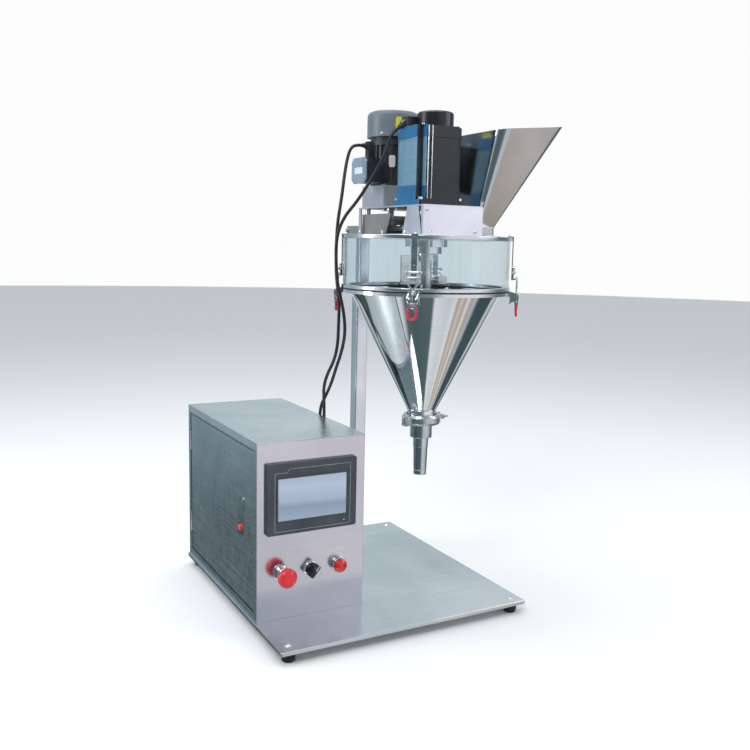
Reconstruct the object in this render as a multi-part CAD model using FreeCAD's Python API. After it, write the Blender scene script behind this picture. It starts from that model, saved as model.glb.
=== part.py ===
import FreeCAD, Part
import math
import os

os.makedirs("parts", exist_ok=True)
V = FreeCAD.Vector

# ---------------------------------------------------------------- driving dimensions (mm)
PLATE_W = 560.0            # base plate, left to right
PLATE_D = 590.0            # base plate, front to back
PLATE_SKIRT = 8.0          # folded edge of the base plate
PLATE_T = 2.0
FOOT_H = 20.0              # rubber below the folded edge
FOOT_IN = 23.0             # foot centre from the plate's sides

CAB_X0, CAB_X1 = 4.0, 238.0        # control cabinet on the left of the base plate
CAB_Y0, CAB_Y1 = 138.0, 588.0
CAB_H = 363.0
SHEET = 1.5

AX, AY = 421.0, 218.0      # hopper and auger axis
GY = 376.0                 # agitator gearmotor axis (same X)
COL_Y = 523.0              # column centre (same X)
COL_S = 30.0               # square column

R_RING = 182.0             # hopper flange rings
R_CYL = 179.0              # sight cylinder, outside
T_CYL = 5.0
R_LID = 183.0
Z_CONE_TOP = 650.0
Z_CYL0, Z_CYL1 = 660.0, 757.0
Z_LID = 765.0
Z_JOINT = 366.0            # clamp joint under the cone
R_FERRULE = 37.4
R_PIPE = 31.8
Z_TIP = 240.0              # bottom of the filling tube

STAND_X0, STAND_X1 = 349.0, 495.0
STAND_Y0, STAND_Y1 = 118.0, 400.0
Z_STAND = 827.0            # top face of the motor stand
Z_ARM0, Z_ARM1 = 766.0, 789.0      # arm between the stand and the column

SERVO_S = 110.0            # servo motor, square
Z_SERVO = 990.0
Z_ENC = 1022.0
GEAR_S = 102.0             # gearbox, square
Z_GEAR = 876.0
Z_FAN = 1040.0

# feed funnel: neck on the lid and rim
NX0, NX1, NY0, NY1 = 510.0, 562.0, 164.0, 236.0
FX0, FX1, FY0, FY1 = 525.0, 699.0, 106.0, 296.0
Z_NECK, Z_RIM = 786.0, 995.0
RIM_RISE = 18.0            # the rim's right end stands this much above its left end

LATCH_AZ = [231.0, 321.0, 51.0, 141.0]   # directions of the four toggle latches, from +X

# the model's own origin: middle of its bounding box at the floor
X_MIN, X_MAX = 0.0, FX1
OX, OY, OZ = (X_MIN + X_MAX) / 2.0, PLATE_D / 2.0, -(PLATE_SKIRT + FOOT_H)


# ---------------------------------------------------------------- helpers
def box(x0, y0, z0, x1, y1, z1):
    return Part.makeBox(x1 - x0, y1 - y0, z1 - z0, V(x0, y0, z0))


def cyl(x, y, z0, z1, r):
    return Part.makeCylinder(r, z1 - z0, V(x, y, z0))


def cyl_dir(p, d, length, r):
    return Part.makeCylinder(r, length, V(*p), V(*d))


def cone(x, y, z0, z1, r0, r1):
    return Part.makeCone(r0, r1, z1 - z0, V(x, y, z0))


def ring(x, y, z0, z1, ro, ri):
    return cyl(x, y, z0, z1, ro).cut(cyl(x, y, z0 - 1, z1 + 1, ri))


def poly(points):
    pts = [V(*p) for p in points]
    return Part.Face(Part.makePolygon(pts + [pts[0]]))


def prism(points, vec):
    return poly(points).extrude(V(*vec))


def revolve(profile, x, y):
    # profile is a list of (radius, z)
    pts = [V(x + r, y, z) for r, z in profile]
    f = Part.Face(Part.makePolygon(pts + [pts[0]]))
    return f.revolve(V(x, y, 0), V(0, 0, 1), 360)


def fuse(shapes):
    s = shapes[0]
    for t in shapes[1:]:
        s = s.fuse(t)
    return s.removeSplitter()


def cut(s, tools):
    for t in tools:
        s = s.cut(t)
    return s


def rbox(x0, y0, z0, x1, y1, z1, r, axis="z"):
    b = box(x0, y0, z0, x1, y1, z1)
    i = "xyz".index(axis)
    edges = []
    for e in b.Edges:
        a, c = e.Vertexes[0].Point, e.Vertexes[-1].Point
        d = [abs(c.x - a.x), abs(c.y - a.y), abs(c.z - a.z)]
        if d[i] > 1e-6 and sum(d) - d[i] < 1e-6:
            edges.append(e)
    return b.makeFillet(r, edges)


def hexhead(x, y, z0, h, af, d=(0, 0, 1)):
    r = af / math.sqrt(3.0)
    pts = [(r * math.cos(math.radians(60 * i)), r * math.sin(math.radians(60 * i)), 0) for i in range(6)]
    s = prism(pts, (0, 0, h))
    rot = FreeCAD.Rotation(V(0, 0, 1), V(*d))
    s.Placement = FreeCAD.Placement(V(x, y, z0), rot)
    return s


def dome(p, d, r, h, shank=0.0, rs=2.0):
    # dome headed screw: the head's flat side at p, the dome towards d, the shank the other way
    big = (r * r + h * h) / (2.0 * h)
    ball = Part.makeSphere(big, V(0, 0, h - big))
    head = ball.common(Part.makeBox(4 * r, 4 * r, h + 1, V(-2 * r, -2 * r, 0)))
    rec = Part.makeCylinder(r * 0.36, h, V(0, 0, h * 0.55))
    head = head.cut(rec)
    if shank > 0:
        head = head.fuse(Part.makeCylinder(rs, shank + 0.5, V(0, 0, -shank)))
    head.Placement = FreeCAD.Placement(V(*p), FreeCAD.Rotation(V(0, 0, 1), V(*d)))
    return head


def rod(p, q, r):
    a, b = V(*p), V(*q)
    return Part.makeCylinder(r, (b - a).Length, a, b - a)


def ball(p, r):
    return Part.makeSphere(r, V(*p))


COUNT = {}


def node(name, shapes):
    if not isinstance(shapes, (list, tuple)):
        shapes = [shapes]
    solids = []
    for s in shapes:
        solids += s.Solids
    out = []
    for s in solids:
        c = s.copy()
        c.translate(V(-OX, -OY, -OZ))
        if not c.isValid():
            print("INVALID", name)
        out.append(c)
    shape = out[0] if len(out) == 1 else Part.makeCompound(out)
    shape.exportStep("parts/" + name + ".step")
    COUNT[name] = len(out)
    return shape


# ---------------------------------------------------------------- base plate, feet, column
feet_xy = [(FOOT_IN, FOOT_IN), (PLATE_W - FOOT_IN, FOOT_IN),
           (FOOT_IN, PLATE_D - FOOT_IN), (PLATE_W - FOOT_IN, PLATE_D - FOOT_IN)]
plate = rbox(0, 0, -PLATE_SKIRT, PLATE_W, PLATE_D, 0, 3.0)
plate = plate.cut(rbox(PLATE_T, PLATE_T, -PLATE_SKIRT - 1, PLATE_W - PLATE_T, PLATE_D - PLATE_T, -PLATE_T, 1.2))
top_edges = [e for e in plate.Edges if e.Length > 200 and abs(e.Vertexes[0].Z) < 1e-6 and abs(e.Vertexes[-1].Z) < 1e-6]
plate = plate.makeFillet(1.4, top_edges)
plate = cut(plate, [cyl(x, y, -10, 1, 3.2) for x, y in feet_xy])
flange_xy = [(AX + sx * 7.5, COL_Y) for sx in (-1, 1)]
plate = plate.fuse(box(AX - 60, COL_Y - 55, -PLATE_T - 4, AX + 60, COL_Y + 55, -PLATE_T))
plate = cut(plate, [cyl(x, y, -10, 1, 3.3) for x, y in flange_xy])
node("base_plate", plate)

feet = []
for x, y in feet_xy:
    f = revolve([(3.2, -PLATE_T), (15.0, -PLATE_T), (15.0, -PLATE_SKIRT), (14.6, -12.0), (12.6, OZ + 1.2), (11.4, OZ),
                 (6.0, OZ), (6.0, OZ + 9), (3.2, OZ + 9)], x, y)
    feet.append(f)
node("rubber_feet", feet)

fast = [dome((x, y, 0.0), (0, 0, 1), 7.0, 3.4, 18.0, 3.0) for x, y in feet_xy]
for x, y in flange_xy:
    fast.append(fuse([hexhead(x, y, -10.0, 4.0, 10.0), cyl(x, y, -6.5, 13.0, 3.0)]))
node("base_fasteners", fast)

c0, c1 = AX - COL_S / 2, AX + COL_S / 2
tube = rbox(c0, COL_Y - COL_S / 2, 0, c1, COL_Y + COL_S / 2, Z_ARM1 - 1.0, 3.0)
tube = tube.cut(rbox(c0 + 2, COL_Y - COL_S / 2 + 2, 15.0, c1 - 2, COL_Y + COL_S / 2 - 2, Z_ARM1 + 1, 1.5))
tube = cut(tube, [cyl(x, y, -1, 13.5, 3.05) for x, y in flange_xy])
node("column", tube)

# ---------------------------------------------------------------- control cabinet
X0, X1, Y0, Y1, H = CAB_X0, CAB_X1, CAB_Y0, CAB_Y1, CAB_H
ZB = 0.0
DOOR_Y0, DOOR_Y1, DOOR_Z0, DOOR_Z1 = 158.0, 572.0, 18.0, 343.0
body = box(X0, Y0 + SHEET + 0.2, ZB, X1, Y1, H - 16)
body = body.cut(box(X0 + SHEET, Y0 - 1, ZB + SHEET, X1 - SHEET, Y1 - SHEET, H))
# door opening on the left side, with a folded-in rim
rim = box(X0, DOOR_Y0 - 4, DOOR_Z0 - 4, X0 + 14, DOOR_Y1 + 4 + 2, DOOR_Z1 + 4)
hole = box(X0 - 1, DOOR_Y0 - 2.5, DOOR_Z0 - 2.5, X0 + 16, DOOR_Y1 + 2.5, DOOR_Z1 + 2.5)
body = body.fuse(rim).cut(hole)
# hinge pockets in the rim at the rear edge of the door
HX, HY = 8.2, 577.0
hinge_z = [(58.0, 106.0), (255.0, 303.0)]
for za, zb in hinge_z:
    body = body.cut(box(X0 - 1, DOOR_Y1 - 2, za - 1.5, X0 + 11.5, HY + 5.4, zb + 1.5))
    pocket = box(X0 + 0.0, HY + 5.4, za - 1.5, X0 + 11.5, HY + 6.6, zb + 1.5)
    body = body.fuse(pocket)
# holes over the foot screw's head under the cabinet
body = cut(body, [cyl(x, y, ZB - 1, ZB + SHEET + 1, 8.0) for x, y in feet_xy if x < X1 and y > Y0])
# ventilation louvre slots and inlet opening in the rear wall
slots = []
for i in range(8):
    slots.append(rbox(60, Y1 - 4, 235 + i * 11, 180, Y1 + 1, 239.5 + i * 11, 2.2, "y"))
slots.append(box(96, Y1 - 4, 64, 144, Y1 + 1, 92))
slots += [cyl_dir((X1 - 4, 361, 322), (1, 0, 0), 8, 6.2), cyl_dir((X1 - 4, 384, 322), (1, 0, 0), 8, 6.2)]
body = cut(body, slots)
node("cabinet_body", body.removeSplitter())

front = fuse([box(X0, Y0, ZB, X1, Y0 + SHEET, H - SHEET - 0.2),
              box(X0 + SHEET + 0.2, Y0 + SHEET, ZB + 2, X0 + SHEET + 1.7, Y0 + 13, H - 18),
              box(X1 - SHEET - 1.7, Y0 + SHEET, ZB + 2, X1 - SHEET - 0.2, Y0 + 13, H - 18)])
EST = (55.5, 97.0)
SEL = (118.5, 97.0)
PBT = (179.0, 97.0)
HMI_X0, HMI_X1, HMI_Z0, HMI_Z1 = 21.5, 216.0, 177.0, 321.0
front = cut(front, [cyl_dir((x, Y0 - 2, z), (0, 1, 0), 20, 11.2) for x, z in (EST, SEL, PBT)])
front = front.cut(box(HMI_X0 + 5, Y0 - 1, HMI_Z0 + 5, HMI_X1 - 5, Y0 + 3, HMI_Z1 - 5))
node("cabinet_front_panel", front)

top = rbox(X0 - 0.0, Y0 - 0.0, H - SHEET, X1, Y1, H, 2.0)
skirt = box(X0, Y0, H - 15.6, X1, Y1, H - SHEET).cut(box(X0 + SHEET, Y0 - 1, H - 17, X1 - SHEET, Y1 - SHEET, H + 1))
skirt = skirt.cut(box(X0 - 1, Y0 - 1, H - 17, X1 + 1, Y0 + SHEET + 0.2, H - SHEET))
node("cabinet_top_cover", fuse([top, skirt]))

# side door with folded edges, a lock cut-out and two hinge sleeves
DX = X0 + 1.6
LK_Y0, LK_Y1, LK_Z0, LK_Z1 = 214.0, 248.0, 155.0, 235.0
door = box(DX, DOOR_Y0, DOOR_Z0, DX + 13, DOOR_Y1, DOOR_Z1)
door = door.cut(box(DX + 1.5, DOOR_Y0 + 1.5, DOOR_Z0 + 1.5, DX + 14, DOOR_Y1 - 1.5, DOOR_Z1 - 1.5))
door = door.cut(box(DX - 1, LK_Y0 + 3, LK_Z0 + 3, DX + 3, LK_Y1 - 3, LK_Z1 - 3))
for za, zb in hinge_z:
    zm = (za + zb) / 2
    door = door.cut(box(DX - 1, DOOR_Y1 - 3.2, za - 2, DX + 12, DOOR_Y1 + 1, zb + 2))
    wall = box(DX, DOOR_Y1 - 4.7, za - 2, DX + 11, DOOR_Y1 - 3.2, zb + 2)
    sleeve = cyl(HX, HY, zm + 0.25, zb, 4.0)
    tab = box(HX + 1.4, DOOR_Y1 - 4.7, zm + 0.25, HX + 3.9, HY, zb)
    door = door.fuse(wall).fuse(sleeve).fuse(tab).cut(cyl(HX, HY, zm - 1, zb + 1, 2.06))
node("side_door", door.removeSplitter())

hin = []
for za, zb in hinge_z:
    zm = (za + zb) / 2
    k = fuse([cyl(HX, HY, za, zm - 0.25, 4.0), box(HX - 1.25, HY, za, HX + 1.25, HY + 5.4, zm - 0.25), cyl(HX, HY, za, zb - 0.5, 2.0)])
    hin.append(k)
node("door_hinges", hin)

# flush push-to-release lock in the door
lock = rbox(DX - 1.5, LK_Y0, LK_Z0, DX, LK_Y1, LK_Z1, 4.0, "x")
lbody = box(DX - 0.2, LK_Y0 + 3.4, LK_Z0 + 3.4, DX + 16, LK_Y1 - 3.4, LK_Z1 - 3.4)
lock = lock.fuse(lbody)
lock = lock.cut(rbox(DX - 3, LK_Y0 + 5, LK_Z0 + 26, DX - 0.4, LK_Y1 - 5, LK_Z1 - 5, 2.5, "x"))
lock = lock.fuse(rbox(DX - 1.2, LK_Y0 + 6, LK_Z0 + 27, DX + 1, LK_Y1 - 6, LK_Z1 - 6, 2.0, "x"))
LBY, LBZ = (LK_Y0 + LK_Y1) / 2, LK_Z0 + 15.0
lock = lock.cut(cyl_dir((DX - 4, LBY, LBZ), (1, 0, 0), 11.0, 6.8))
cam_bar = box(DX + 16, LK_Y0 + 12, LK_Z0 + 28, DX + 18.5, LK_Y0 + 22, LK_Z0 + 40)
lock = lock.fuse(cam_bar)
node("door_lock", lock.removeSplitter())
lb = cyl_dir((DX - 4.6, LBY, LBZ), (1, 0, 0), 8.2, 6.4)
lb = lb.makeFillet(1.2, [e for e in lb.Edges if abs(e.Vertexes[0].X - (DX - 4.6)) < 1e-6 and e.Curve.TypeId.endswith("GeomCircle")])
node("lock_button", lb)

# control gear inside: mounting plate, two drives, power supply
gear_back = box(X1 - 12, 165, 30, X1 - 10, 565, 325)
g1 = rbox(X1 - 130, 420, 120, X1 - 12.2, 480, 290, 3.0)
g2 = rbox(X1 - 110, 330, 150, X1 - 12.2, 398, 282, 3.0)
g3 = rbox(X1 - 70, 205, 60, X1 - 12.2, 303, 160, 2.0)
g4 = box(X1 - 60, 340, 60, X1 - 12.2, 520, 100)
studs = [cyl_dir((X1 - 10.0, y, z), (1, 0, 0), 8.4, 4.0) for y in (180, 550) for z in (45, 310)]
node("control_gear", [gear_back, g1, g2, g3, g4] + studs)

# operator panel and touch screen
bez = rbox(HMI_X0, Y0 - 9.0, HMI_Z0, HMI_X1, Y0, HMI_Z1, 4.5, "y")
bez = bez.makeFillet(1.6, [e for e in bez.Edges if abs(e.Vertexes[0].Y - (Y0 - 9)) < 1e-6 and abs(e.Vertexes[-1].Y - (Y0 - 9)) < 1e-6])
bez = bez.fuse(box(HMI_X0 + 5.4, Y0 - 0.5, HMI_Z0 + 5.4, HMI_X1 - 5.4, Y0 + 30, HMI_Z1 - 5.4))
SCX0, SCX1, SCZ0, SCZ1 = 45.0, 193.0, 205.0, 290.0
bez = bez.cut(box(SCX0 - 0.3, Y0 - 10, SCZ0 - 0.3, SCX1 + 0.3, Y0 - 6.5, SCZ1 + 0.3))
node("hmi_bezel", bez)
node("hmi_screen", box(SCX0, Y0 - 8.4, SCZ0, SCX1, Y0 - 6.6, SCZ1))

# ---------------------------------------------------------------- operating buttons
def turned(profile, x, z, y_face):
    # revolve a (radius, out) profile about the -Y direction, out of the panel face
    pts = [V(x + r, y_face - o, z) for r, o in profile]
    f = Part.Face(Part.makePolygon(pts + [pts[0]]))
    return f.revolve(V(x, y_face, z), V(0, 1, 0), 360)


ex, ez = EST
sx, sz = SEL
px, pz = PBT
# collars pass through the panel and carry the lock nut and contact block behind it
est_collar = turned([(7.3, -14), (11.0, -14), (11.0, 0), (14.8, 0), (14.8, 3.5), (12.8, 5.0), (12.8, 14.0), (11.6, 15.5), (7.3, 15.5)], ex, ez, Y0)
sel_collar = turned([(7.3, -14), (11.0, -14), (11.0, 0), (14.6, 0), (14.6, 4.0), (13.4, 5.6), (11.0, 5.6), (11.0, 4.0), (7.3, 4.0)], sx, sz, Y0)
pb_collar = turned([(7.3, -14), (11.0, -14), (11.0, 0), (16.6, 0), (16.6, 5.0), (15.8, 13.0), (13.9, 13.0), (13.9, 5.0), (7.3, 5.0)], px, pz, Y0)
node("button_collars", [est_collar, sel_collar, pb_collar])

node("estop_stem", turned([(0.0, -12.0), (7.0, -12.0), (7.0, 30.0), (0.0, 30.0)], ex, ez, Y0))
head = turned([(0.0, 30.3), (7.1, 30.3), (7.1, 24.0), (13.4, 24.0), (19.3, 29.5), (20.0, 33.0), (19.0, 38.0),
               (15.2, 42.0), (8.6, 44.4), (0.0, 45.0)], ex, ez, Y0)
node("estop_head", head)

kb = turned([(0.0, -12.0), (7.0, -12.0), (7.0, 4.3), (10.6, 4.3), (10.6, 9.0), (9.6, 10.0), (0.0, 10.0)], sx, sz, Y0)
bar = rbox(sx - 4.6, Y0 - 27.0, sz - 14.0, sx + 4.6, Y0 - 9.0, sz + 14.0, 2.6, "y")
bar.rotate(V(sx, Y0, sz), V(0, 1, 0), 40)
node("selector_knob", fuse([kb, bar]))

cap = turned([(0.0, -12.0), (7.0, -12.0), (7.0, 9.6), (13.5, 9.6), (13.5, 18.0), (12.0, 20.3), (0.0, 21.6)], px, pz, Y0)
node("push_button_cap", cap)

blocks = []
for x, z in (EST, SEL, PBT):
    nut = hexhead(x, Y0 + SHEET, z, 4.0, 27.0, (0, 1, 0)).cut(cyl_dir((x, Y0, z), (0, 1, 0), 10, 11.1))
    blk = rbox(x - 14, Y0 + 18.0, z - 20, x + 14, Y0 + 56, z + 20, 2.0, "y")
    clip = ring(0, 0, 0, 12.2, 13.6, 11.1)
    clip.Placement = FreeCAD.Placement(V(x, Y0 + 5.8, z), FreeCAD.Rotation(V(0, 0, 1), V(0, 1, 0)))
    blocks += [nut, blk.fuse(clip)]
node("contact_blocks", blocks)

# ---------------------------------------------------------------- motor stand on the hopper lid
ZL = Z_LID
TOPT = 3.0
SX0, SX1, SY0, SY1 = STAND_X0, STAND_X1, STAND_Y0, STAND_Y1
tp = rbox(SX0, SY0, Z_STAND - TOPT, SX1, SY1, Z_STAND, 1.5)
tp = cut(tp, [cyl(AX, AY, Z_STAND - 9, Z_STAND + 1, 30.0), cyl(AX, GY, Z_STAND - 9, Z_STAND + 1, 20.0)])
sv = 48.0
tp = cut(tp, [cyl(AX + a * sv, AY + b * sv, Z_STAND - 9, Z_STAND + 1, 3.3) for a in (-1, 1) for b in (-1, 1)])
# only the bolts inside the plate's outline hold the gearbox
tp = cut(tp, [cyl(AX + a * 40, GY - 40, Z_STAND - 9, Z_STAND + 1, 3.3) for a in (-1, 1)])
node("stand_top_plate", tp)

zt = Z_STAND - TOPT
fp = prism([(SX0, SY0, ZL), (SX1, SY0, ZL), (SX1, SY0, zt), (SX0, SY0, zt)], (0, 3.0, 0))
for xa, xb in ((SX0, SX0 + 3), (SX1 - 3, SX1)):
    fp = fp.fuse(prism([(xa, SY0 + 3, ZL), (xa, SY0 + 4.5, ZL), (xa, SY0 + 9.5, zt), (xa, SY0 + 3, zt)], (3.0, 0, 0)))
fp = fp.fuse(box(SX0 + 3, SY0 + 3, ZL, SX1 - 3, SY0 + 15, ZL + 3))
node("stand_front_panel", fp.removeSplitter())

legs = []
for sgn, xa in ((-1, SX0), (1, SX1 - 3.0)):
    leg = prism([(xa, 124.0, ZL), (xa, 201.0, ZL), (xa, 181.0, zt), (xa, 138.0, zt)], (3.0, 0, 0))
    rail = box(xa, 201.0, ZL, xa + 3.0, SY1 - 14, ZL + 3.2)
    rear = prism([(xa, SY1 - 14, ZL), (xa, SY1 - 2, ZL), (xa, SY1 - 2, zt), (xa, SY1 - 12, zt)], (3.0, 0, 0))
    fx0, fx1 = (xa + 3.0, xa + 15.0) if sgn < 0 else (xa - 12.0, xa)
    footf = box(fx0, 150, ZL, fx1, 195, ZL + 3)
    topf = box(fx0, 142, zt - 3, fx1, 178, zt)
    legs.append(fuse([leg, rail, rear, footf, topf]))
node("stand_side_plates", legs)

# bracket between stand and column: welded box with a split clamp round the column
bz0, bz1 = 769.0, 812.0
bx0, bx1 = SX0 + 7.5, SX1 - 7.5
br = []
for xa in (bx0, bx1 - 3.0):
    br.append(prism([(xa, 284.0, bz0), (xa, 394.0, bz0), (xa, 394.0, bz1), (xa, 264.0, bz1)], (3.0, 0, 0)))
br.append(box(bx0, 352, bz0, bx1, 394, bz0 + 4))
br.append(box(bx0, 391, bz0, bx1, 394, bz1))
arm0, arm1 = AX - 26.0, AX + 26.0
blk = rbox(arm0, COL_Y - 26, Z_ARM0, arm1, COL_Y + 28, Z_ARM1, 3.0)
for xa in (AX - 40.0, AX + 35.0):
    br.append(box(xa, 392, Z_ARM0, xa + 5.0, 415, Z_ARM1))
br.append(box(AX - 40, 411, Z_ARM0, AX + 40, 415, Z_ARM1))
for xa in (arm0, arm1 - 5.0):
    br.append(box(xa, 413, Z_ARM0, xa + 5.0, COL_Y - 22, Z_ARM1))
br.append(box(arm0, 413, Z_ARM1 - 5.0, arm1, COL_Y - 22, Z_ARM1))
br.append(blk)
bracket = fuse(br)
bracket = bracket.cut(box(c0 - 0.1, COL_Y - COL_S / 2 - 0.1, Z_ARM0 - 1, c1 + 0.1, COL_Y + COL_S / 2 + 0.1, bz1 + 1))
bracket = bracket.cut(box(AX - 1.2, COL_Y, Z_ARM0 - 1, AX + 1.2, COL_Y + 40, Z_ARM1 + 1))
bracket = bracket.cut(cyl_dir((AX - 40, COL_Y + 21.5, 777.5), (1, 0, 0), 80, 3.1))
# window in the rear wall for the chain and its sprocket
bracket = bracket.cut(box(AX - 34.5, 389, 774.0, AX + 34.5, 396, 791.0))
node("column_bracket", bracket)

# ---------------------------------------------------------------- hopper: lid, sight cylinder, rings, cone
lid = cyl(AX, AY, Z_CYL1, ZL, R_LID)
lid = lid.makeFillet(1.2, [e for e in lid.Edges if e.Curve.TypeId.endswith("GeomCircle")])
lid = lid.cut(cyl(AX, AY, Z_CYL1 - 5, ZL + 5, 30.0))
lid = lid.cut(rbox(NX0 + 4, NY0 + 4, Z_CYL1 - 5, NX1 - 4, NY1 - 4, ZL + 5, 8.0))
hub_out = ring(AX, AY, 742.0, Z_CYL1, 46.0, 20.08)
lobes = [cyl(AX + 46 * math.cos(a), AY + 46 * math.sin(a), 741.0, 758.0, 5.0) for a in [math.radians(22.5 + 45 * i) for i in range(8)]]
hub_out = cut(hub_out, lobes)
collar = ring(AX, AY, 728.0, 742.0, 34.0, 20.08)
up = ring(AX, AY, ZL - 9, ZL + 8, 31.0, 20.08)
lid = fuse([lid, hub_out, collar, up])
node("hopper_lid", lid)
node("sight_cylinder", ring(AX, AY, Z_CYL0, Z_CYL1, R_CYL, R_CYL - T_CYL))
uf = ring(AX, AY, 653.0, Z_CYL0, R_RING, 166.0)
uf = uf.makeFillet(1.0, [e for e in uf.Edges if e.Curve.TypeId.endswith("GeomCircle") and abs(e.Curve.Radius - R_RING) < 1e-6])
node("upper_flange", uf)

# cone: rolled sheet with a flange ring at the top and a clamp ferrule at the bottom
cone_prof = [(R_RING, 643.4), (R_RING, 650.0), (160.0, 650.0), (160.0, 643.0), (29.8, 386.5), (29.8, Z_JOINT + 1.6),
             (R_FERRULE, Z_JOINT + 1.6), (R_FERRULE, Z_JOINT + 3.4), (R_PIPE + 0.4, Z_JOINT + 6.2), (R_PIPE, Z_JOINT + 7.0),
             (R_PIPE, 387.5), (162.0, 643.4)]
node("hopper_cone", revolve(cone_prof, AX, AY))
g_main = ring(AX, AY, 650.0, 653.0, 180.6, 162.0)
g_cl = ring(AX, AY, Z_JOINT, Z_JOINT + 1.6, 37.2, 30.0)
node("hopper_gaskets", [g_main, g_cl])

# clamp: two jaws, hinged on the left, closed by an eye bolt and wing nut on the right
CL_A = math.radians(18.0)     # the clamp's joint line is turned this far towards the rear


def clamp_ring():
    prof = [(R_PIPE + 2.2, 377.6), (38.6, 377.2), (42.4, 372.0), (42.4, 361.0), (38.6, 355.8), (R_PIPE + 2.2, 355.4),
            (R_PIPE + 2.2, 359.4), (R_FERRULE + 0.3, 363.6), (R_FERRULE + 0.3, 369.8), (R_PIPE + 2.2, 373.6)]
    return revolve(prof, AX, AY)


cr = clamp_ring()
cr = cr.cut(box(AX - 80, AY - 1.6, 350, AX + 80, AY + 1.6, 385))
# hinge ears on the -X side, bolt ears on the +X side
zc0, zc1 = 358.5, 374.5
ear_f_l = box(AX - 56.0, AY - 8.0, zc0, AX - 39.5, AY - 1.6, zc1)
ear_b_l = box(AX - 56.0, AY + 1.6, zc0, AX - 39.5, AY + 8.0, zc1)
ear_f_r = box(AX + 39.5, AY - 8.5, zc0, AX + 56.0, AY - 1.6, zc1)
ear_b_r = box(AX + 39.5, AY + 1.6, zc0, AX + 56.0, AY + 8.5, zc1)
halves = []
for s in cr.Solids:
    c = s.CenterOfMass
    if c.y < AY:
        h = s.fuse(ear_f_l).fuse(ear_f_r)
    else:
        h = s.fuse(ear_b_l).fuse(ear_b_r)
    halves.append(h)
inner = cyl(AX, AY, 350, 385, R_PIPE + 2.2).fuse(revolve([(0, 359.4), (R_PIPE + 2.2, 359.4), (R_FERRULE + 0.3, 363.6), (R_FERRULE + 0.3, 369.8), (R_PIPE + 2.2, 373.6), (0, 373.6)], AX, AY))
halves = [h.cut(inner) for h in halves]
PXc = AX - 52.0               # hinge pin position
halves = [h.cut(cyl(PXc, AY, 350, 385, 3.2)) for h in halves]
slot = box(AX + 47.0, AY - 12, 361.5, AX + 60.0, AY + 12, 371.5)
halves = [h.cut(slot) for h in halves]
links = [rbox(PXc - 5, AY - 10, z, PXc + 5, AY + 10, z + 1.8, 4.0) for z in (zc0 - 2.1, zc1 + 0.3)]
pin = cyl(PXc, AY, zc0 - 3.5, zc1 + 3.5, 3.0)
hpart = [fuse(links + [pin])]
# pivot pin of the eye bolt, in the rear jaw's ear
EBX, EBY = AX + 52.0, AY + 5.4
epin = cyl(EBX, EBY, zc0 - 0.4, zc1 + 0.4, 2.0)
halves = [h.cut(cyl(EBX, EBY, zc0 - 2, zc1 + 2, 2.05)) if h.BoundBox.Center.y > AY else h for h in halves]
bolt = fuse([cyl(EBX, EBY, 363.3, 369.7, 4.2).cut(cyl(EBX, EBY, 360, 372, 2.08)),
             cyl_dir((EBX, EBY - 3.4, 366.5), (0, -1, 0), 26.0, 2.6)])
nut_y = AY - 9.8
wn = cyl_dir((EBX, nut_y, 366.5), (0, -1, 0), 9.0, 5.6)
wn = wn.fuse(cyl_dir((EBX, nut_y - 9.0, 366.5), (0, -1, 0), 1.6, 4.6))
for s in (-1, 1):
    w = prism([(EBX + s * 3.0, nut_y - 1.5, 364.9), (EBX + s * 7.0, nut_y - 2.5, 364.9), (EBX + s * 13.5, nut_y - 9.5, 364.9),
               (EBX + s * 14.0, nut_y - 13.5, 364.9), (EBX + s * 10.5, nut_y - 15.0, 364.9), (EBX + s * 3.0, nut_y - 8.8, 364.9)], (0, 0, 3.2))
    wn = wn.fuse(w)
wn = wn.cut(cyl_dir((EBX, nut_y + 2, 366.5), (0, -1, 0), 20.0, 2.66))


def turn_clamp(s):
    s = s.copy()
    s.rotate(V(AX, AY, 0), V(0, 0, 1), math.degrees(CL_A))
    return s


node("clamp_halves", [turn_clamp(s) for s in halves + hpart + [epin]])
node("clamp_eye_bolt", turn_clamp(bolt))
node("clamp_wing_nut", turn_clamp(wn.removeSplitter()))
ca, sa = math.cos(CL_A), math.sin(CL_A)
print("eye bolt pivot", AX + (EBX - AX) * ca - (EBY - AY) * sa - OX, AY + (EBX - AX) * sa + (EBY - AY) * ca - OY,
      "nut axis dir", (sa, -ca, 0))

# filling tube
tube_prof = [(29.8, Z_JOINT), (R_FERRULE, Z_JOINT), (R_FERRULE, Z_JOINT - 1.8), (R_PIPE + 0.4, Z_JOINT - 4.6), (24.5, Z_JOINT - 7.5),
             (24.5, 326.0), (23.5, 325.0), (16.8, 325.0), (16.8, 303.5), (16.0, 303.0), (14.6, 252.6), (13.7, 251.8), (13.7, 250.4), (14.4, 249.6),
             (14.4, 241.0), (13.6, Z_TIP), (11.2, Z_TIP), (11.2, 345.0), (29.8, 363.0)]
node("filling_tube", revolve(tube_prof, AX, AY))

# auger: shaft with a helical flight
shaft = fuse([cyl(AX, AY, 243.0, 420.0, 4.5), cyl(AX, AY, 418.0, 789.0, 7.0)])


def flight(r_out, z0, z1, pitch, thick):
    # a square section swept along a helix, reaching into the shaft
    hx = Part.makeHelix(pitch, z1 - z0, r_out)
    w = Part.Wire(hx.Edges)
    r_in = 3.5
    prof = Part.makePolygon([V(r_in, 0, -thick / 2), V(r_out, 0, -thick / 2), V(r_out, 0, thick / 2), V(r_in, 0, thick / 2), V(r_in, 0, -thick / 2)])
    s = w.makePipeShell([Part.Wire(prof.Edges)], True, True)
    s.translate(V(AX, AY, z0))
    return s


fl = flight(10.8, 244.5, 400.5, 20.0, 1.8)
auger = shaft.fuse(fl)
node("auger", auger)

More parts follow.
